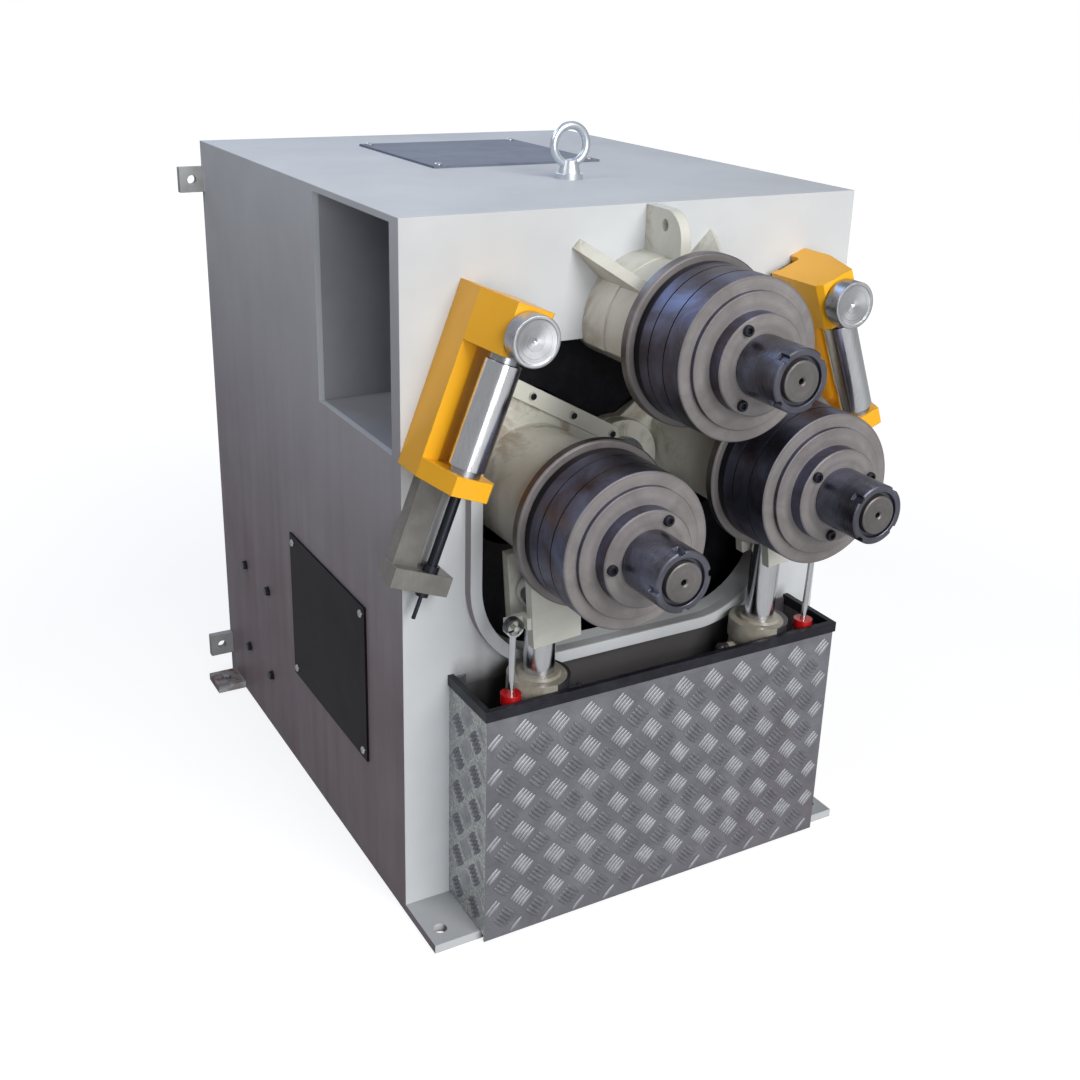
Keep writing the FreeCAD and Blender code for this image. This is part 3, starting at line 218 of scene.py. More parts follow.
def cabinet_enamel():
    """The casing's enamel: clean on top; painted shade, warmer and streaked with dust, low on the sides;
    painted shade in the ram well.
    """
    f = Finish("cabinet_enamel", CABINET, 0.50, specular_ior_level=0.25)
    x, y, z = f.axes()
    nx, ny, nz = f.normal()
    out = f.magnitude(x)
    past_side = CASE_SIDE + 0.0005
    broad, fine = f.noise(3.2, 4, 0.6), f.noise(42.0, 3, 0.55)
    tone = f.blend(f.span(broad, 0.35, 0.68), shade(CABINET, 0.90), shade(CABINET, 1.03))
    tone = f.blend(f.span(fine, 0.58, 0.80, 0.0, 0.25), tone, shade(CABINET, 0.88))
    # painted shade on the two sides, darker and warmer towards the floor, streaked with dust run marks
    side = f.span(f.magnitude(nx), 0.7, 0.9)
    runs = f.span(f.streaks((24, 24, 1.6)), 0.25, 0.70, 0.78, 1.0)
    tone = f.blend(f.times(f.span(z, 0.95, 0.30), runs, side), tone, srgb(131, 114, 119))
    # painted shade in the well behind the guard, darkest low, up to the rim of the opening
    well_middle = (GUARD["left"] + GUARD["right"]) / 2
    well_half = (GUARD["right"] - GUARD["left"]) / 2
    across = f.magnitude(f.calc("SUBTRACT", x, well_middle))
    ragged = f.calc("ADD", z, f.times(f.noise(22.0, 4, 0.6), 0.03))
    shade_and_oil = f.times(f.span(across, well_half, well_half - 0.0095), f.span(ragged, 0.375, 0.335))
    on_plate = f.times(f.under(y, 0.002), f.over(y, -0.0125))
    tone = f.blend(f.times(shade_and_oil, on_plate, 0.90), tone, (0.040, 0.034, 0.032))
    # painted shade on the top of the foot, uneven
    foot = f.times(f.over(nz, 0.7), f.under(z, FOOT_TOP + 0.002))
    tone = f.blend(f.times(foot, f.span(broad, 0.30, 0.60, 0.5, 0.95)), tone, srgb(150, 152, 154))
    # painted shade greys the rear lugs, unevenly
    lug = f.times(f.over(out, past_side), f.over(y, 0.735))
    tone = f.blend(f.times(lug, f.span(fine, 0.30, 0.70, 0.70, 1.0)), tone, srgb(158, 160, 158))
    # rust on the low rear lugs
    blooms = f.span(f.noise(60.0, 5, 0.7, warp=0.6), 0.42, 0.58, 0.0, 0.85)
    rust = f.times(f.under(z, FOOT_TOP + 0.0005), f.span(y, 0.660, 0.690),
                   f.span(out, past_side, CASE_SIDE + 0.005), blooms)
    f.set("Base Color", f.blend(rust, tone, (0.160, 0.062, 0.026)))
    rough = f.span(f.noise(11.0, 4, 0.6), 0.3, 0.7, 0.45, 0.58)
    f.set("Roughness", f.calc("MAXIMUM", rough, f.times(rust, 0.8)))
    f.orange_peel()
    return f.material


def rim_shade(f, y, radius, cloud, tones, barrel_shade_and_seams):
    """Where the surface runs round the axis, and its tone there: painted shade, darker than the faces.

    On a roll barrel, painted shade makes it near black behind the recess line, back to the flange, and
    black in its seams.
    """
    facing = f.magnitude(f.normal()[1])
    rim = f.span(facing, 0.80, 0.45)
    rim_tone = f.blend(f.span(cloud, 0.35, 0.65), *tones)
    if barrel_shade_and_seams:
        behind = f.over(y, ROLL_FRONT + 0.0015)
        rim = f.calc("MAXIMUM", rim, f.times(f.over(radius, ROLL_RADIUS - 0.0032), behind))
        # painted shade: near black from this line back to the flange, as in a recess
        recess_shade = f.span(y, ROLL_RECESS_SHADE - 0.0012, ROLL_RECESS_SHADE + 0.0012, 0.0, 0.9)
        rim_tone = f.blend(recess_shade, rim_tone, (0.004, 0.004, 0.006))
        seam = f.times(f.over(facing, 0.2), f.over(radius, ROLL_RADIUS - 0.0042), behind)
        rim_tone = f.blend(seam, rim_tone, (0.006, 0.006, 0.008))
    return rim, rim_tone


def turned_steel(name, centre, dark, light, rough=0.34, metal=0.92, rings=900.0, ring_depth=0.22,
                 blotch=0.25, rounding=0.001, side=None, barrel_shade_and_seams=False, bore=None, spun=0.0):
    """Lathe-turned steel: fine rings round the part's own axis, handling marks, dull oxide bloom.

    side: dark and light tone of the surfaces that run round the axis, painted shade that keeps them darker
    than the faces; bore: radius of the centre hole, painted near black as its shade; spun: how far
    highlights are drawn out round the axis.
    """
    f = Finish(name, light, rough, metal)
    x, y, z = f.axes(f.moved(centre))
    radius = f.radius(x, z)
    along = f.calc("ADD", radius, f.times(y, 1.13))
    fine = f.rings(along, rings, 4.0, 0.7)
    coarse = f.rings(along, rings * 0.14, 2.0, 0.5)
    cloud = f.noise(16.0, 5, 0.62, warp=0.6)
    tone = f.blend(f.span(cloud, 0.32, 0.70), dark, light)
    tone = f.blend(f.span(coarse, 0.35, 0.70, 0.0, 0.55), tone, dark)
    smudge = f.span(f.noise(48.0, 4, 0.6), 0.55, 0.75, 0.0, blotch)
    tone = f.blend(smudge, tone, shade(dark, 0.55))
    roughness = f.calc("ADD", f.span(fine, 0.3, 0.7, rough - 0.07, rough + 0.10), f.times(cloud, 0.10))
    # painted shade: the surfaces that run round the axis take the darker side tones
    if side is not None:
        rim, rim_tone = rim_shade(f, y, radius, cloud, side, barrel_shade_and_seams)
        tone = f.blend(rim, tone, rim_tone)
        f.set("Metallic", f.span(rim, 0, 1, metal, 0.95))
        roughness = f.calc("ADD", roughness, f.times(rim, -0.10))
    # painted shade: the centre hole is coloured near black
    if bore is not None:
        tone = f.blend(f.under(radius, bore), tone, (0.006, 0.006, 0.007))
    if spun:
        f.set("Anisotropic", spun)
        f.set("Tangent", f.add("Tangent", direction_type="RADIAL", axis="Y"))
    f.set("Base Color", tone)
    f.set("Roughness", roughness)
    turning = f.bump(coarse, ring_depth * 0.6, 0.0008, f.soft_edge(rounding))
    f.set("Normal", f.bump(fine, ring_depth, 0.0004, turning))
    return f.material


def plain_steel(name, colour, rough, metal, grain, depth, cloudy):
    """Bar or sheet steel with a directional grain and cloudy plating."""
    f = Finish(name, colour, rough, metal)
    streak = f.streaks(grain)
    cloud = f.noise(22.0, 5, 0.6, warp=0.4)
    tone = f.blend(f.span(cloud, 0.35, 0.70), shade(colour, 1 - cloudy), colour)
    tone = f.blend(f.span(streak, 0.45, 0.75, 0.0, 0.35), tone, shade(colour, 0.6))
    f.set("Base Color", tone)
    f.set("Roughness", f.span(streak, 0.3, 0.7, rough - 0.05, rough + 0.09))
    f.set("Normal", f.bump(streak, depth, 0.0005, f.soft_edge(0.0008)))
    return f.material


def black_rubber(name, colour, rough, shine):
    """Moulded rubber with a little grey dust."""
    f = Finish(name, colour, rough, specular_ior_level=shine)
    dust = f.span(f.noise(34.0, 5, 0.7), 0.45, 0.80)
    f.set("Base Color", f.blend(dust, colour, tuple(c * 2.4 + 0.006 for c in colour)))
    f.set("Roughness", f.span(f.noise(9.0), 0.3, 0.7, rough - 0.08, rough + 0.12))
    f.set("Normal", f.bump(f.noise(700.0, 2), 0.10, 0.0005, f.soft_edge(0.001)))
    return f.material


def cover_coat():
    """Powder coat: near black on the side panel; on the roof cover painted lighter and bluer as sky light
    and reflection, with dust.
    """
    f = Finish("panel_powder_coat", srgb(29, 24, 28), 0.46, specular_ior_level=0.10)
    # painted light: the roof cover takes a lighter, bluer copy of the coat
    sky_lit_roof = f.over(f.axes()[2], ROOF_NEAR)
    dust = f.span(f.noise(14.0, 5, 0.65, warp=0.5), 0.35, 0.75)
    low = f.blend(dust, srgb(16, 13, 20), srgb(33, 25, 29))
    high = f.blend(dust, srgb(104, 112, 129), srgb(122, 130, 146))
    f.set("Base Color", f.blend(sky_lit_roof, low, high))
    f.set("Normal", f.bump(f.noise(420.0, 2), 0.16, 0.0005, f.soft_edge(0.0010)))
    return f.material


def tread_aluminium():
    """Rolled aluminium: soft rolling streaks, scuffs, and painted light that makes the guard's two flanks
    pale.
    """
    f = Finish("tread_aluminium", (0.25, 0.25, 0.28), 0.40, 0.75)
    streak = f.streaks((30, 30, 420), 5, 0.65)
    cloud = f.noise(13.0, 5, 0.65, warp=0.8)
    tone = f.blend(f.span(cloud, 0.30, 0.72), (0.200, 0.198, 0.228), (0.30, 0.298, 0.335))
    tone = f.blend(f.span(streak, 0.52, 0.75, 0.0, 0.35), tone, (0.15, 0.147, 0.172))
    # painted light: the flanks facing sideways are coloured pale and speckled
    flank = f.span(f.magnitude(f.normal()[0]), 0.6, 0.9)
    speck = f.span(f.noise(260.0, 4, 0.7), 0.42, 0.60)
    tone = f.blend(flank, tone, f.blend(speck, (0.34, 0.35, 0.345), (0.62, 0.64, 0.63)))
    # brown dust gathers towards the right
    dust = f.times(f.span(f.axes()[0], 0.06, 0.26), f.span(f.noise(9.0, 4, 0.6), 0.45, 0.70, 0.0, 0.45))
    tone = f.blend(dust, tone, (0.20, 0.150, 0.125))
    f.set("Base Color", tone)
    f.set("Roughness", f.span(cloud, 0.3, 0.7, 0.30, 0.44))
    f.set("Normal", f.bump(streak, 0.12, 0.0006, f.soft_edge(0.0008)))
    return f.material


def tread_ridge(name, dull, bright):
    """The raised ridges of the tread, scuffed between two tones."""
    f = Finish(name, bright, 0.42, 0.60)
    scuff = f.noise(60.0, 5, 0.65, warp=0.5)
    f.set("Base Color", f.blend(f.span(scuff, 0.35, 0.70), dull, bright))
    f.set("Roughness", f.span(scuff, 0.3, 0.7, 0.42, 0.56))
    f.set("Normal", f.bump(f.noise(900.0, 2), 0.05, 0.0004))
    return f.material


def ram_enamel(side):
    """A ram's enamel: clean on the gland's face, painted shade below it down in the guard, its hose fitting
    in dark steel.
    """
    f = Finish(side + "_ram_enamel", CREAM, 0.40, coat_weight=0.10)
    x, y, z = f.axes()
    middle = -RAM_OUT if side == "left" else RAM_OUT
    from_axis = f.radius(f.calc("SUBTRACT", x, middle), f.calc("SUBTRACT", y, RAM_Y))
    cloud = f.noise(26.0, 5, 0.65, warp=0.5)
    tone = f.blend(f.span(cloud, 0.35, 0.70), srgb(136, 130, 118), srgb(180, 176, 164))
    # painted shade: near black below the gland, down in the guard
    guard_shade = f.span(f.calc("ADD", z, f.times(cloud, 0.012)), 0.288, 0.280)
    tone = f.blend(guard_shade, tone, (0.050, 0.042, 0.036))
    tone = f.blend(f.over(from_axis, GLAND_RADIUS + 0.0012), tone, (0.030, 0.030, 0.036))
    f.set("Base Color", tone)
    f.set("Roughness", f.span(cloud, 0.3, 0.7, 0.32, 0.50))
    f.set("Normal", f.bump(f.noise(420.0, 2), 0.08, 0.0005, f.soft_edge(0.0012)))
    return f.material


def arm_enamel(name, roll, reach):
    """Cream enamel darkened round the roll's bearing by painted shade and oil, with brown stains in the
    corners.
    """
    f = Finish(name, CREAM, 0.40, coat_weight=0.10, coat_roughness=0.15)
    x, y, z = f.axes(f.moved(roll))
    cloud, fine = f.noise(9.0, 5, 0.65, warp=0.8), f.noise(60.0, 4, 0.6)
    tone = f.blend(f.span(cloud, 0.32, 0.70), shade(CREAM, 0.84), CREAM)
    tone = f.blend(f.span(fine, 0.56, 0.78, 0.0, 0.25), tone, shade(CREAM, 0.74))
    # painted shade and oil: darker round the roll's bearing, more towards the front
    shade_and_oil = f.times(f.span(y, -0.030, -0.105, 0.0, 0.85), f.span(cloud, 0.25, 0.60, 0.55, 1.0),
                  f.span(f.radius(x, z), reach + 0.006, reach))
    tone = f.blend(shade_and_oil, tone, srgb(116, 106, 92))
    stain = f.times(f.span(f.noise(15.0, 5, 0.7, warp=1.2), 0.52, 0.66), f.span(y, -0.06, 0.01, 0.0, 0.55))
    tone = f.blend(stain, tone, srgb(126, 96, 66))
    f.set("Base Color", tone)
    f.set("Roughness", f.span(cloud, 0.3, 0.7, 0.32, 0.48))
    f.orange_peel(rounding=0.0014, fine=460.0, waves=0.06)
    return f.material


def sensor_steel(side):
    """A bright ground rod with a dark rod end."""
    f = Finish(side + "_sensor_steel", (0.7, 0.7, 0.73), 0.16, 1.0)
    cloud = f.noise(90.0, 4, 0.6)
    end = f.span(f.axes()[2], ROD_END_LOW, ROD_END_LOW + 0.0015)
    f.set("Base Color", f.blend(end, f.blend(cloud, (0.58, 0.59, 0.62), (0.74, 0.75, 0.78)),
                                f.blend(cloud, (0.055, 0.055, 0.062), (0.13, 0.13, 0.14))))
    f.set("Roughness", f.span(end, 0.0, 1.0, 0.14, 0.38))
    f.set("Normal", f.soft_edge(0.0006))
    return f.material


cabinet_paint = cabinet_enamel()
cream_paint = paint("cream_enamel", CREAM, 0.36, 0.12, wear=srgb(120, 112, 100), coat=0.12)
pocket_paint = paint("pocket_enamel", srgb(163, 163, 169), 0.42, grime=0.14)
yellow_paint = paint("yellow_enamel", (0.90, 0.44, 0.010), 0.34, 0.12, wear=srgb(150, 100, 40),
                     coat=0.12, grime=0.06, wear_size=0.0012)
# painted shade: the inner frame and the rams' feet are coloured darker and browner than the cabinet
shadow_paint = paint("inner_enamel", srgb(120, 110, 98), 0.48, 0.14, grime=0.22)
gearbox_paint = paint("gearbox_enamel", srgb(96, 104, 112), 0.42, 0.25, grime=0.20)
tank_paint = paint("tank_enamel", srgb(52, 58, 66), 0.42, 0.20, grime=0.16)
red_cap = paint("red_cap_plastic", srgb(176, 18, 22), 0.28, 0.04, grime=0.05, coat=0.4)
zinc = plain_steel("zinc_plate", (0.70, 0.75, 0.81), 0.30, 0.92, (9, 9, 9), 0.01, 0.08)
chrome = plain_steel("hard_chrome", (0.68, 0.69, 0.72), 0.16, 1.0, (260, 260, 30), 0.012, 0.06)
bar_steel = plain_steel("ground_bar", (0.40, 0.42, 0.45), 0.28, 0.95, (300, 300, 20), 0.10, 0.25)
guide_steel = plain_steel("guide_bar_steel", (0.33, 0.32, 0.30), 0.36, 0.85, (300, 300, 20), 0.10, 0.30)
black_steel = plain_steel("blackened_steel", (0.040, 0.042, 0.055), 0.32, 0.85, (160, 160, 160), 0.08, 0.3)
screw_steel = plain_steel("screw_steel", (0.60, 0.60, 0.62), 0.30, 0.95, (200, 200, 200), 0.05, 0.2)
curtain_rubber = black_rubber("curtain_rubber", (0.005, 0.005, 0.008), 0.50, 0.2)
trim_rubber = black_rubber("edge_rubber", (0.008, 0.008, 0.013), 0.40, 0.3)
panel_paint = cover_coat()
guard_metal = tread_aluminium()
# painted light: one ridge material bright as a highlight, the other dull as shade
ridge_painted_bright = tread_ridge("tread_ridge_rubbed", (0.29, 0.30, 0.325), (0.42, 0.43, 0.46))
ridge_painted_dim = tread_ridge("tread_ridge_dull", (0.17, 0.17, 0.195), (0.26, 0.26, 0.29))


def coat(name, material):
    slots = NODES[name].data.materials
    slots.clear()
    slots.append(material)


for names, material in (
        (("base_plate", "front_plate", "cabinet_shell"), cabinet_paint),
        (("pocket_liners",), pocket_paint),
        (("case_covers",), panel_paint),
        (("case_screws",), screw_steel),
        (("eye_bolt",), zinc),
        (("inner_frame", "cylinder_feet"), shadow_paint),
        (("arm_pivot_shaft", "top_bearings"), bar_steel),
        (("opening_curtain",), curtain_rubber),
        (("top_bearing_housing",), arm_enamel("top_housing_enamel", tuple(ROLLS["top_roll"][0]), 0.062)),
        (("top_gearmotor", "left_gearmotor", "right_gearmotor"), gearbox_paint),
        (("treadplate_box",), guard_metal),
        (("box_edge_trim",), trim_rubber),
        (("power_pack",), tank_paint),
        (("left_guide_bar", "right_guide_bar"), guide_steel)):
    for name in names:
        coat(name, material)

for prefix, (centre, phase) in ROLLS.items():
    spot = tuple(centre)
    coat(prefix + "_shaft", turned_steel(
        prefix + "_shaft_steel", spot, (0.15, 0.14, 0.14), (0.27, 0.25, 0.25), 0.40, bore=0.0034))
    # painted shade on the barrel's round surfaces, their blue partly a painted sky reflection
    coat(prefix + "_barrel", turned_steel(
        prefix + "_face_steel", spot, STEEL_DARK, STEEL_LIGHT, 0.46, 0.55,
        ring_depth=0.16, rounding=0.0004, side=(BROWN, BLUED_AND_SKY_SHEEN), barrel_shade_and_seams=True))
    coat(prefix + "_back_disc", turned_steel(
        prefix + "_flange_steel", spot, (0.17, 0.155, 0.155), (0.27, 0.25, 0.25), 0.40, 0.65,
        side=((0.10, 0.085, 0.085), (0.20, 0.18, 0.185))))
    # the nut's sides: painted shade, their light tone bluish as painted sky reflection
    coat(prefix + "_nut", turned_steel(
        prefix + "_nut_steel", spot, (0.095, 0.095, 0.118), (0.18, 0.18, 0.22),
        side=((0.070, 0.067, 0.080), (0.175, 0.190, 0.262))))
    coat(prefix + "_screws", black_steel)

for side in ("left", "right"):
    coat(side + "_arm", arm_enamel(side + "_arm_enamel", tuple(ROLLS[side + "_roll"][0]), 0.080))
    coat(side + "_curtain_strip", cream_paint)
    coat(side + "_bearings", bar_steel)
    coat(side + "_cylinder", ram_enamel(side))
    coat(side + "_piston_rod", chrome)
    coat(side + "_sensor_tube", red_cap)
    coat(side + "_sensor_rod", sensor_steel(side))
    coat(side + "_guide_bracket", yellow_paint)
    coat(side + "_guide_axle", bar_steel)
    coat(side + "_guide_roller", chrome)
    corners = [Vector(c) for c in NODES[side + "_guide_head"].bound_box]
    coat(side + "_guide_head", turned_steel(
        side + "_head_steel", tuple(sum(corners, Vector()) / 8), (0.46, 0.47, 0.49), (0.70, 0.71, 0.74),
        0.26, 0.95, rings=600.0, ring_depth=0.18, blotch=0.15, rounding=0.0012,
        side=((0.26, 0.27, 0.30), (0.44, 0.46, 0.50)), spun=0.75))
    coat(side + "_guide_screw", black_steel)


# ------------------------------------------------------------------ meshes and their places

CREASE = math.radians(32.0)
TO_FRONT = (math.pi / 2, 0.0, 0.0)          # a seed's +Z turned to -Y
TO_LEFT = (0.0, -math.pi / 2, 0.0)          # a seed's +Z turned to -X


def mesh_of(name, bm):
    mesh = bpy.data.meshes.new(name)
    bm.to_mesh(mesh)
    bm.free()
    return mesh


def crisp(mesh):
    """Smooth faces, with the edges sharper than the crease angle kept crisp."""
    mesh.shade_smooth()
    mesh.set_sharp_from_angle(angle=CREASE)
    return mesh


def in_scene(name, data):
    obj = bpy.data.objects.new(name, data)
    bpy.context.scene.collection.objects.link(obj)
    return obj


def carried(obj, body, stands_for=()):
    """The piece rides on a body; it may stand for CAD nodes, which are hidden."""
    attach(obj, body)
    if stands_for:
        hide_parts(*stands_for)


def single(name, bm, material, body, stands_for=()):
    """One shape that rides on a body."""
    mesh = crisp(mesh_of(name, bm))
    mesh.materials.append(material)
    carried(in_scene(name, mesh), body, stands_for)


def applied(obj):
    """What the object's modifiers make of it takes the place of its own mesh."""
    shown = obj.evaluated_get(bpy.context.evaluated_depsgraph_get())
    mesh = bpy.data.meshes.new_from_object(shown)
    mesh.name = obj.name
    old = obj.data
    obj.modifiers.clear()
    obj.data = mesh
    bpy.data.meshes.remove(old)
    return obj


def geometry_tree(name, sizes):
    """An empty Geometry Nodes tree with named inputs for its sizes, and those inputs."""
    tree = bpy.data.node_groups.new(name, "GeometryNodeTree")
    tree.interface.new_socket("Geometry", in_out="INPUT", socket_type="NodeSocketGeometry")
    for label, value in sizes.items():
        socket = tree.interface.new_socket(label, in_out="INPUT", socket_type="NodeSocketFloat")
        socket.default_value = value
    tree.interface.new_socket("Geometry", in_out="OUTPUT", socket_type="NodeSocketGeometry")
    return tree, node(tree, "NodeGroupInput").outputs


def set_out(tree, seed, material, smooth=False):
    """The tree's end: the seed on every point, turned by the point's own angles."""
    angles = node(tree, "GeometryNodeInputNamedAttribute", {"Name": "angles"}, data_type="FLOAT_VECTOR")
    shape = node(tree, "GeometryNodeInstanceOnPoints", {**seed, "Rotation": angles.outputs["Attribute"]})
    shape = node(tree, "GeometryNodeRealizeInstances", {0: shape.outputs[0]})
    if smooth:
        shape = node(tree, "GeometryNodeSetShadeSmooth", {"Geometry": shape.outputs[0]})
    shape = node(tree, "GeometryNodeSetMaterial", {"Geometry": shape.outputs[0], "Material": material})
    node(tree, "NodeGroupOutput", {0: shape.outputs[0]})
    return tree


def ridge_tree(name, material):
    """Geometry Nodes: a pointed ridge on every point."""
    tree, given = geometry_tree(name, {"Ridge Length": 0.0265, "Ridge Width": 0.0060,
                                       "Ridge Height": 0.0011})
    ball = node(tree, "GeometryNodeMeshUVSphere", {"Segments": 8, "Rings": 5, "Radius": 0.5})
    double = node(tree, "ShaderNodeMath", {0: given["Ridge Height"], 1: 2.0}, operation="MULTIPLY")
    size = node(tree, "ShaderNodeCombineXYZ", {0: given["Ridge Width"], 1: double.outputs[0],
                                               2: given["Ridge Length"]})
    ridge = node(tree, "GeometryNodeTransform", {"Geometry": ball.outputs["Mesh"],
                                                 "Scale": size.outputs[0]})
    return set_out(tree, {"Points": given["Geometry"], "Instance": ridge.outputs[0]}, material, smooth=True)


def repeat_tree(name, seed, material):
    """Geometry Nodes: the seed object on every point."""
    tree, given = geometry_tree(name, {"Seed Size": 1.0})
    source = node(tree, "GeometryNodeObjectInfo", {"Object": seed})
    return set_out(tree, {"Points": given["Geometry"], "Instance": source.outputs["Geometry"],
                          "Scale": given["Seed Size"]}, material)


def on_points(name, spots, tree):
    """The tree's result on each (place, angles), as one plain mesh."""
    mesh = bpy.data.meshes.new(name)
    mesh.from_pydata([place for place, angles in spots], [], [])
    attribute = mesh.attributes.new("angles", "FLOAT_VECTOR", "POINT")
    for k, (place, angles) in enumerate(spots):
        attribute.data[k].vector = angles
    obj = in_scene(name, mesh)
    obj.modifiers.new("repeat", "NODES").node_group = tree
    return applied(obj)


def repeated(name, bm, spots, material, body, stands_for=()):
    """The shape set at each (place, angles), made one mesh that rides on a body."""
    seed = in_scene(name + "_seed", crisp(mesh_of(name + "_seed", bm)))
    obj = on_points(name, spots, repeat_tree(name + "_tree", seed, material))
    bpy.data.objects.remove(seed)
    carried(obj, body, stands_for)


# ------------------------------------------------------------------ tread and flanges


def tread_ridges():
    """Raised quintets on the guard: five ridges a group, turned by 90 degrees in turn.

    The ridges of one direction get a bright material as painted highlight, the others a dull one as painted
    shade.
    """
    pitch_u, pitch_v, gap = 0.02363, 0.02446, 0.0054
    reach = 0.0135 * math.sin(math.pi / 4)
    most = 40
    groups = {True: [], False: []}

    def fill(low_u, high_u, low_v, high_v, start, place, spin):
        """Groups over one face, without the ridges that would cross its edges."""
        for i in range(-2, most):
            for j in range(-2, most):
                if (i + j) % 2:
                    continue
                painted_bright = i % 2 == 0
                lean = math.radians(45 if painted_bright else -45)
                middle_u, middle_v = low_u + start[0] + i * pitch_u, low_v + start[1] + j * pitch_v
                for k in range(-2, 3):
                    u = middle_u + k * gap * math.cos(lean)
                    v = middle_v - k * gap * math.sin(lean)
                    if low_u + reach < u < high_u - reach and low_v + reach < v < high_v - reach:
                        groups[painted_bright].append((place(u, v), (0.0, lean, spin)))

    g = GUARD
    trim_low = g["top"] - 0.010
    fill(g["left"], g["right"], g["low"], trim_low, (0.0060, 0.0039),
         lambda u, v: (u, g["front"], v), 0.0)
    for flank in (g["left"], g["right"]):
        fill(g["front"], 0.0, FOOT_TOP, trim_low, (0.006, 0.001),
             lambda u, v, x=flank: (x, u, v), math.pi / 2)
    for painted_bright, name, material in ((True, "guard_tread_rubbed", ridge_painted_bright),
                                   (False, "guard_tread_dull", ridge_painted_dim)):
        obj = on_points(name, groups[painted_bright], ridge_tree(name + "_tree", material))
        carried(obj, "machine")


def pocket_flanges():
    """Strips behind the front plate that cover a fault of the CAD, which has no such strips.

    There the opening is 8 mm wider on each side than the space between the pockets, so a slit
    would join each pocket to the opening.
    """
    lap, thick, top = 0.003, 0.003, 0.716
    low = Vector((POCKET_WALL - 0.0005, PLATE_BACK, POCKET_FLOOR))
    high = Vector((OPENING_SIDE + lap, PLATE_BACK + thick, top))
    size = Matrix.Diagonal((*(high - low), 1.0))
    bm = bmesh.new()
    for sign in (-1, 1):
        middle = (low + high) / 2
        middle.x *= sign
        bmesh.ops.create_cube(bm, size=1.0, matrix=Matrix.Translation(middle) @ size)
    mesh = mesh_of("pocket_flanges", bm)
    mesh.materials.append(pocket_paint)
    carried(in_scene("pocket_flanges", mesh), "machine")


tread_ridges()
pocket_flanges()


# ------------------------------------------------------------------ screws, bolts and nuts


def round_at(r):
    return lambda angle: r


def hexagon(half):
    """A hexagon whose flats lie half away from the middle."""
    return lambda angle: half / math.cos((angle % (math.pi / 3)) - math.pi / 6)


def cross(half, reach):
    """A cross recess: four arms of that half width and reach."""
    def edge(angle):
        a = angle % (math.pi / 2)
        a = min(a, math.pi / 2 - a)
        return reach / math.cos(a) if math.tan(a) <= half / reach else half / math.sin(a)
    return edge


def knurled(r, teeth=24, depth=0.00022):
    return lambda angle: r - depth * (1 - math.cos(teeth * angle))


def notched(r, depth, width, first, count=4):
    """A round edge with square notches."""
    def edge(angle):
        a = (angle - first + math.pi / count) % (2 * math.pi / count) - math.pi / count
        return r - depth if abs(a) * r < width / 2 else r
    return edge


def lofted(rings, steps=48, closed=True):
    """Rings of one outline each, (height along Z, outline), skinned one to the next."""
    bm = bmesh.new()
    angles = [2 * math.pi * k / steps for k in range(steps)]
    rows = [[bm.verts.new((outline(a) * math.cos(a), outline(a) * math.sin(a), height)) for a in angles]
            for height, outline in rings]
    for low, high in zip(rows, rows[1:]):
        for k in range(steps):
            n = (k + 1) % steps
            bm.faces.new((low[k], low[n], high[n], high[k]))
    if closed:
        bm.faces.new(rows[0][::-1])
        bm.faces.new(rows[-1])
    bmesh.ops.recalc_face_normals(bm, faces=bm.faces)
    return bm


def pan_head():
    """A pan-head screw with a cross recess."""
    r, h, shank = 0.0055, 0.0030, 0.0022
    return lofted([(-0.004, round_at(shank)), (0.0, round_at(shank)), (0.0, round_at(r)),
                   (h * 0.45, round_at(r * 0.99)), (h * 0.78, round_at(r * 0.86)),
                   (h * 0.97, round_at(r * 0.62)), (h, cross(0.0007, 0.0030)),
                   (h - 0.0016, cross(0.0005, 0.0022))], 64)


def hex_bolt(across, height):
    """A hexagon head on its washer."""
    half, washer = across / 2, 0.0008
    return lofted([(0.0, round_at(half * 1.3)), (washer, round_at(half * 1.3)), (washer, hexagon(half)),
                   (height - 0.0012, hexagon(half)), (height, round_at(half * 0.93))])


def cap_head(r, h, socket):
    """A knurled cap screw's head with its hexagon socket."""
    floor = max(h - 0.0036, 0.0004)
    return lofted([(0.0, knurled(r)), (h - 0.0011, knurled(r)), (h - 0.0009, round_at(r - 0.0003)),
                   (h, round_at(r - 0.0011)), (h, hexagon(socket / 2)), (floor, hexagon(socket / 2))], 96)


def ring_nut(first_slot):
    """A slotted ring nut along Z, from the hub's front to its own, with a recess round its bore."""
    r, back, front, bore, recess = 0.036, 0.238, 0.304, 0.0236, 0.0275
    slot, floor = 0.008, front - 0.006
    edge = notched(r, 0.004, slot, first_slot)
    face = notched(r - 0.0015, 0.0026, slot, first_slot)
    bm = lofted([(back, round_at(bore)), (back, round_at(r - 0.001)), (back + 0.0012, round_at(r)),
                 (front - 0.0144, round_at(r)), (front - 0.0140, edge), (front - 0.0015, edge),
                 (front, face), (front, round_at(recess + 0.0008)), (front - 0.0008, round_at(recess)),
                 (floor, round_at(recess)), (floor, round_at(bore))], 144, closed=False)
    bmesh.ops.bridge_loops(bm, edges=[e for e in bm.edges if e.is_boundary])
    return bm


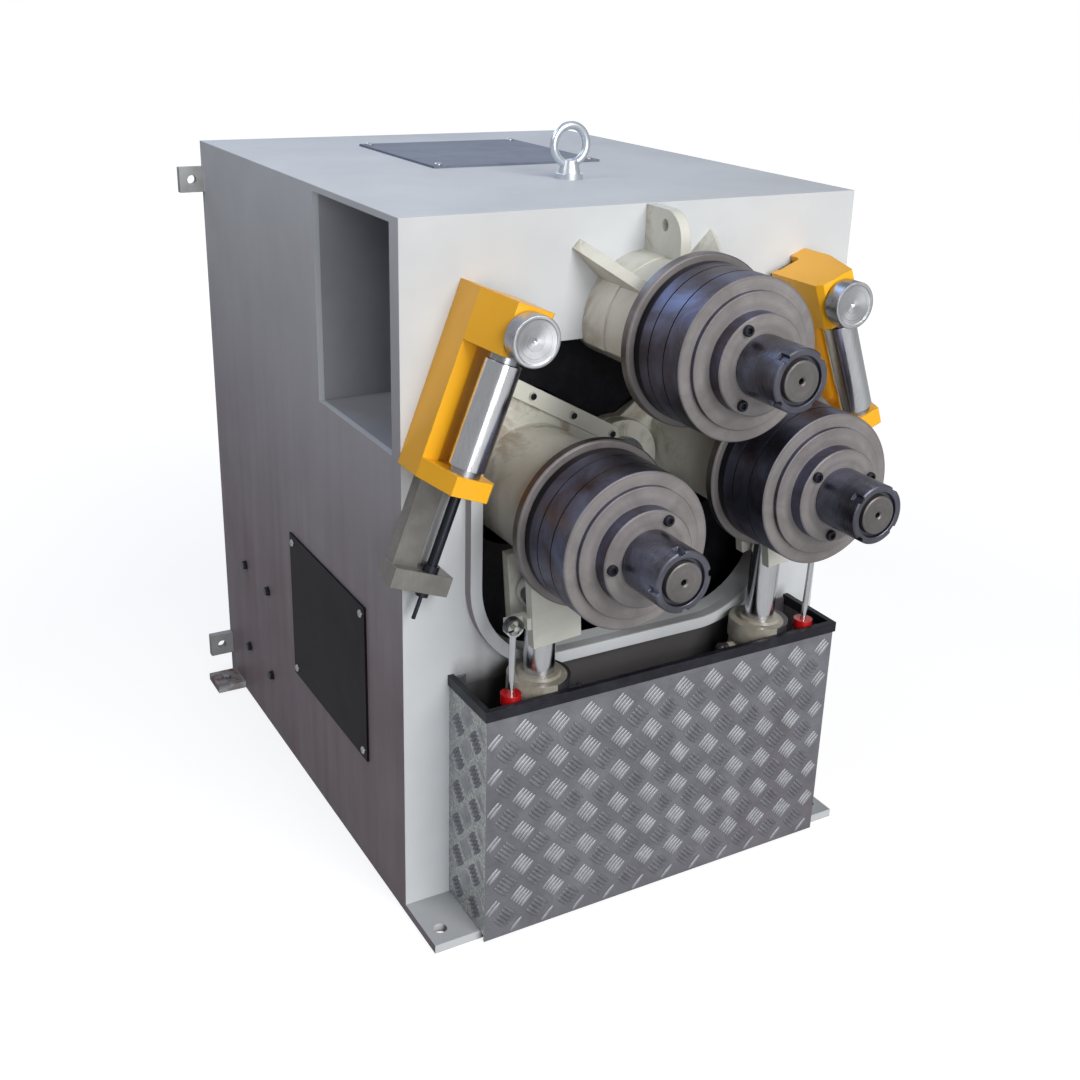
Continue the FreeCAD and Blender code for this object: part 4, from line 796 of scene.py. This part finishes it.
cover_holes = [(x, y) for y in (0.366, 0.610) for x in (-0.104, 0.138)]
spots = [((x, y, COVER_TOP), (0.0, 0.0, 0.3 + 0.9 * k)) for k, (x, y) in enumerate(cover_holes)]
spots += [((PANEL_FACE, y, z), TO_LEFT) for y in (0.129, 0.388) for z in (0.178, 0.383)]
repeated("cover_screws", pan_head(), spots, screw_steel, "machine", ("case_screws",))
repeated("side_bolts", hex_bolt(0.0132, 0.0062),
         [((-CASE_SIDE, y, z), TO_LEFT) for y in (0.523, 0.635) for z in (0.099, 0.248)],
         black_steel, "machine")

# The curtain strips lean outwards and upwards from a point just above the pivot.
STRIP_LEAN, STRIP_ROOT, FIRST_HOLE, HOLE_PITCH = math.radians(33.1), 0.0303, 0.0203, 0.0673
for side, sign, rest, front, holes in (("left", -1, LEFT_REST, 0.023, (0, 1, 2)),
                                       ("right", 1, -RIGHT_REST, 0.041, (1, 2))):
    swing = Matrix.Rotation(rest, 3, "Y")
    heads = []
    for k in holes:
        out = FIRST_HOLE + HOLE_PITCH * k
        spot = Vector((sign * out * math.cos(STRIP_LEAN), front, STRIP_ROOT + out * math.sin(STRIP_LEAN)))
        heads.append((tuple(PIVOT + swing @ spot), TO_FRONT))
    repeated(side + "_strip_screws", cap_head(0.0042, 0.0024, 0.0036), heads, black_steel, side + "_arm")

for prefix, (centre, phase) in ROLLS.items():
    heads = []
    for k in range(3):
        a = math.radians(phase + 120 * k)
        spot = Vector((CAP_CIRCLE * math.cos(a), HUB_FRONT, CAP_CIRCLE * math.sin(a)))
        heads.append((tuple(centre + spot), TO_FRONT))
    repeated(prefix + "_cap_screws", cap_head(0.0065, 0.005, 0.006), heads, black_steel, prefix,
             (prefix + "_screws",))
    nut = ring_nut(math.radians(-(phase + 20)))
    to_place = Matrix.Translation(centre) @ Matrix.Rotation(math.pi / 2, 4, "X")
    bmesh.ops.transform(nut, matrix=to_place, verts=nut.verts)
    single(prefix + "_ring_nut", nut, NODES[prefix + "_nut"].data.materials[0], prefix,
           (prefix + "_nut",))


# ------------------------------------------------------------------ floor, light and camera


def stage_floor():
    """A plain floor that keeps the object's shadow: white to the camera, dimmer as metal sees it."""
    f = Finish("floor_white", (0.30, 0.30, 0.30), 0.9, specular_ior_level=0.0)
    f.set("Roughness", f.span(f.noise(2.0), 0.3, 0.7, 0.86, 0.94))
    distance = f.add("VectorMath", {0: f.place}, out=1, operation="LENGTH")
    far = f.span(distance, 1.2, 3.2, 0.80, 1.0)
    ray = node(f.tree, "ShaderNodeLightPath").outputs
    mirrored = f.calc("MAXIMUM", ray["Is Glossy Ray"], ray["Is Transmission Ray"])
    seen = f.calc("MAXIMUM", ray["Is Camera Ray"], f.times(mirrored, 0.36))
    f.set("Emission Color", (1, 1, 1, 1))
    f.set("Emission Strength", f.times(seen, far))
    bm = bmesh.new()
    bmesh.ops.create_grid(bm, x_segments=1, y_segments=1, size=9.0)
    mesh = mesh_of("floor", bm)
    mesh.materials.append(f.material)
    in_scene("floor", mesh)


def backdrop():
    """White to the camera, about a third of that to metal, and a faint cool fill on the object."""
    world = bpy.data.worlds.new("studio")
    bpy.context.scene.world = world
    world.use_nodes = True
    tree = world.node_tree
    tree.nodes.clear()
    ray = node(tree, "ShaderNodeLightPath").outputs
    fill = node(tree, "ShaderNodeBackground", {0: (0.93, 0.95, 1.0, 1), 1: 0.10})
    white = node(tree, "ShaderNodeBackground", {0: (1, 1, 1, 1), 1: 1.0})
    glossy = node(tree, "ShaderNodeMath", {0: ray["Is Glossy Ray"], 1: 0.35}, operation="MULTIPLY")
    seen = node(tree, "ShaderNodeMath", {0: ray["Is Camera Ray"], 1: glossy.outputs[0]},
                operation="MAXIMUM")
    mix = node(tree, "ShaderNodeMixShader", {0: seen.outputs[0], 1: fill.outputs[0], 2: white.outputs[0]})
    node(tree, "ShaderNodeOutputWorld", {0: mix.outputs[0]})


def lamp(name, place, aim, size, power, colour):
    data = bpy.data.lights.new(name, "AREA")
    data.energy = power
    data.color = colour
    data.shape = "RECTANGLE"
    data.size, data.size_y = size
    obj = in_scene(name, data)
    obj.location = place
    obj.rotation_euler = (Vector(aim) - Vector(place)).to_track_quat("-Z", "Y").to_euler()


stage_floor()
backdrop()
for settings in (       # name, place, aimed at, width and height, watts, colour
        ("key_front", (0.6, -3.3, 2.8), (0.0, 0.0, 0.45), (2.0, 2.0), 126, (1.0, 0.988, 0.97)),
        ("front_left", (-0.8, -3.9, 1.3), (0.0, 0.0, 0.4), (2.0, 2.0), 68, (0.98, 0.99, 1.0)),
        ("sky_above", (0.5, 0.1, 3.0), (0.0, 0.2, 0.8), (1.3, 1.3), 3, (0.62, 0.78, 1.0)),
        ("window_high", (-0.75, 2.6, 2.7), (0.0, -0.1, 0.8), (1.5, 1.5), 22, (0.50, 0.68, 1.0)),
        ("fill_left", (-1.4, 0.2, 2.0), (-0.3, 0.2, 0.8), (0.8, 0.8), 9, (0.95, 0.95, 1.0)),
        ("window_behind", (1.0, 3.2, 2.2), (0.0, 0.0, 0.8), (2.5, 1.5), 13, (0.76, 0.85, 1.0))):
    lamp(*settings)

# The camera's place in metres, and the directions in which its view runs.
CAMERA_PLACE = (-0.9099, -1.3414, 1.1571)
RIGHT = (0.866271, -0.49868, 0.029867)
DOWN = (-0.153156, -0.322008, -0.934266)
AHEAD = (0.475518, 0.804754, -0.355322)
camera_data = bpy.data.cameras.new("camera")
camera_data.sensor_fit = "HORIZONTAL"
camera_data.sensor_width = 36.0
camera_data.lens = 44.546
camera_data.shift_x = -0.01356
camera_data.shift_y = -0.0466
camera_data.clip_start = 0.05
camera = in_scene("camera", camera_data)
turn = Matrix((RIGHT, [-c for c in DOWN], [-c for c in AHEAD])).transposed().to_4x4()
camera.matrix_world = Matrix.Translation(CAMERA_PLACE) @ turn
bpy.context.scene.camera = camera
bpy.context.scene.view_settings.view_transform = "Standard"
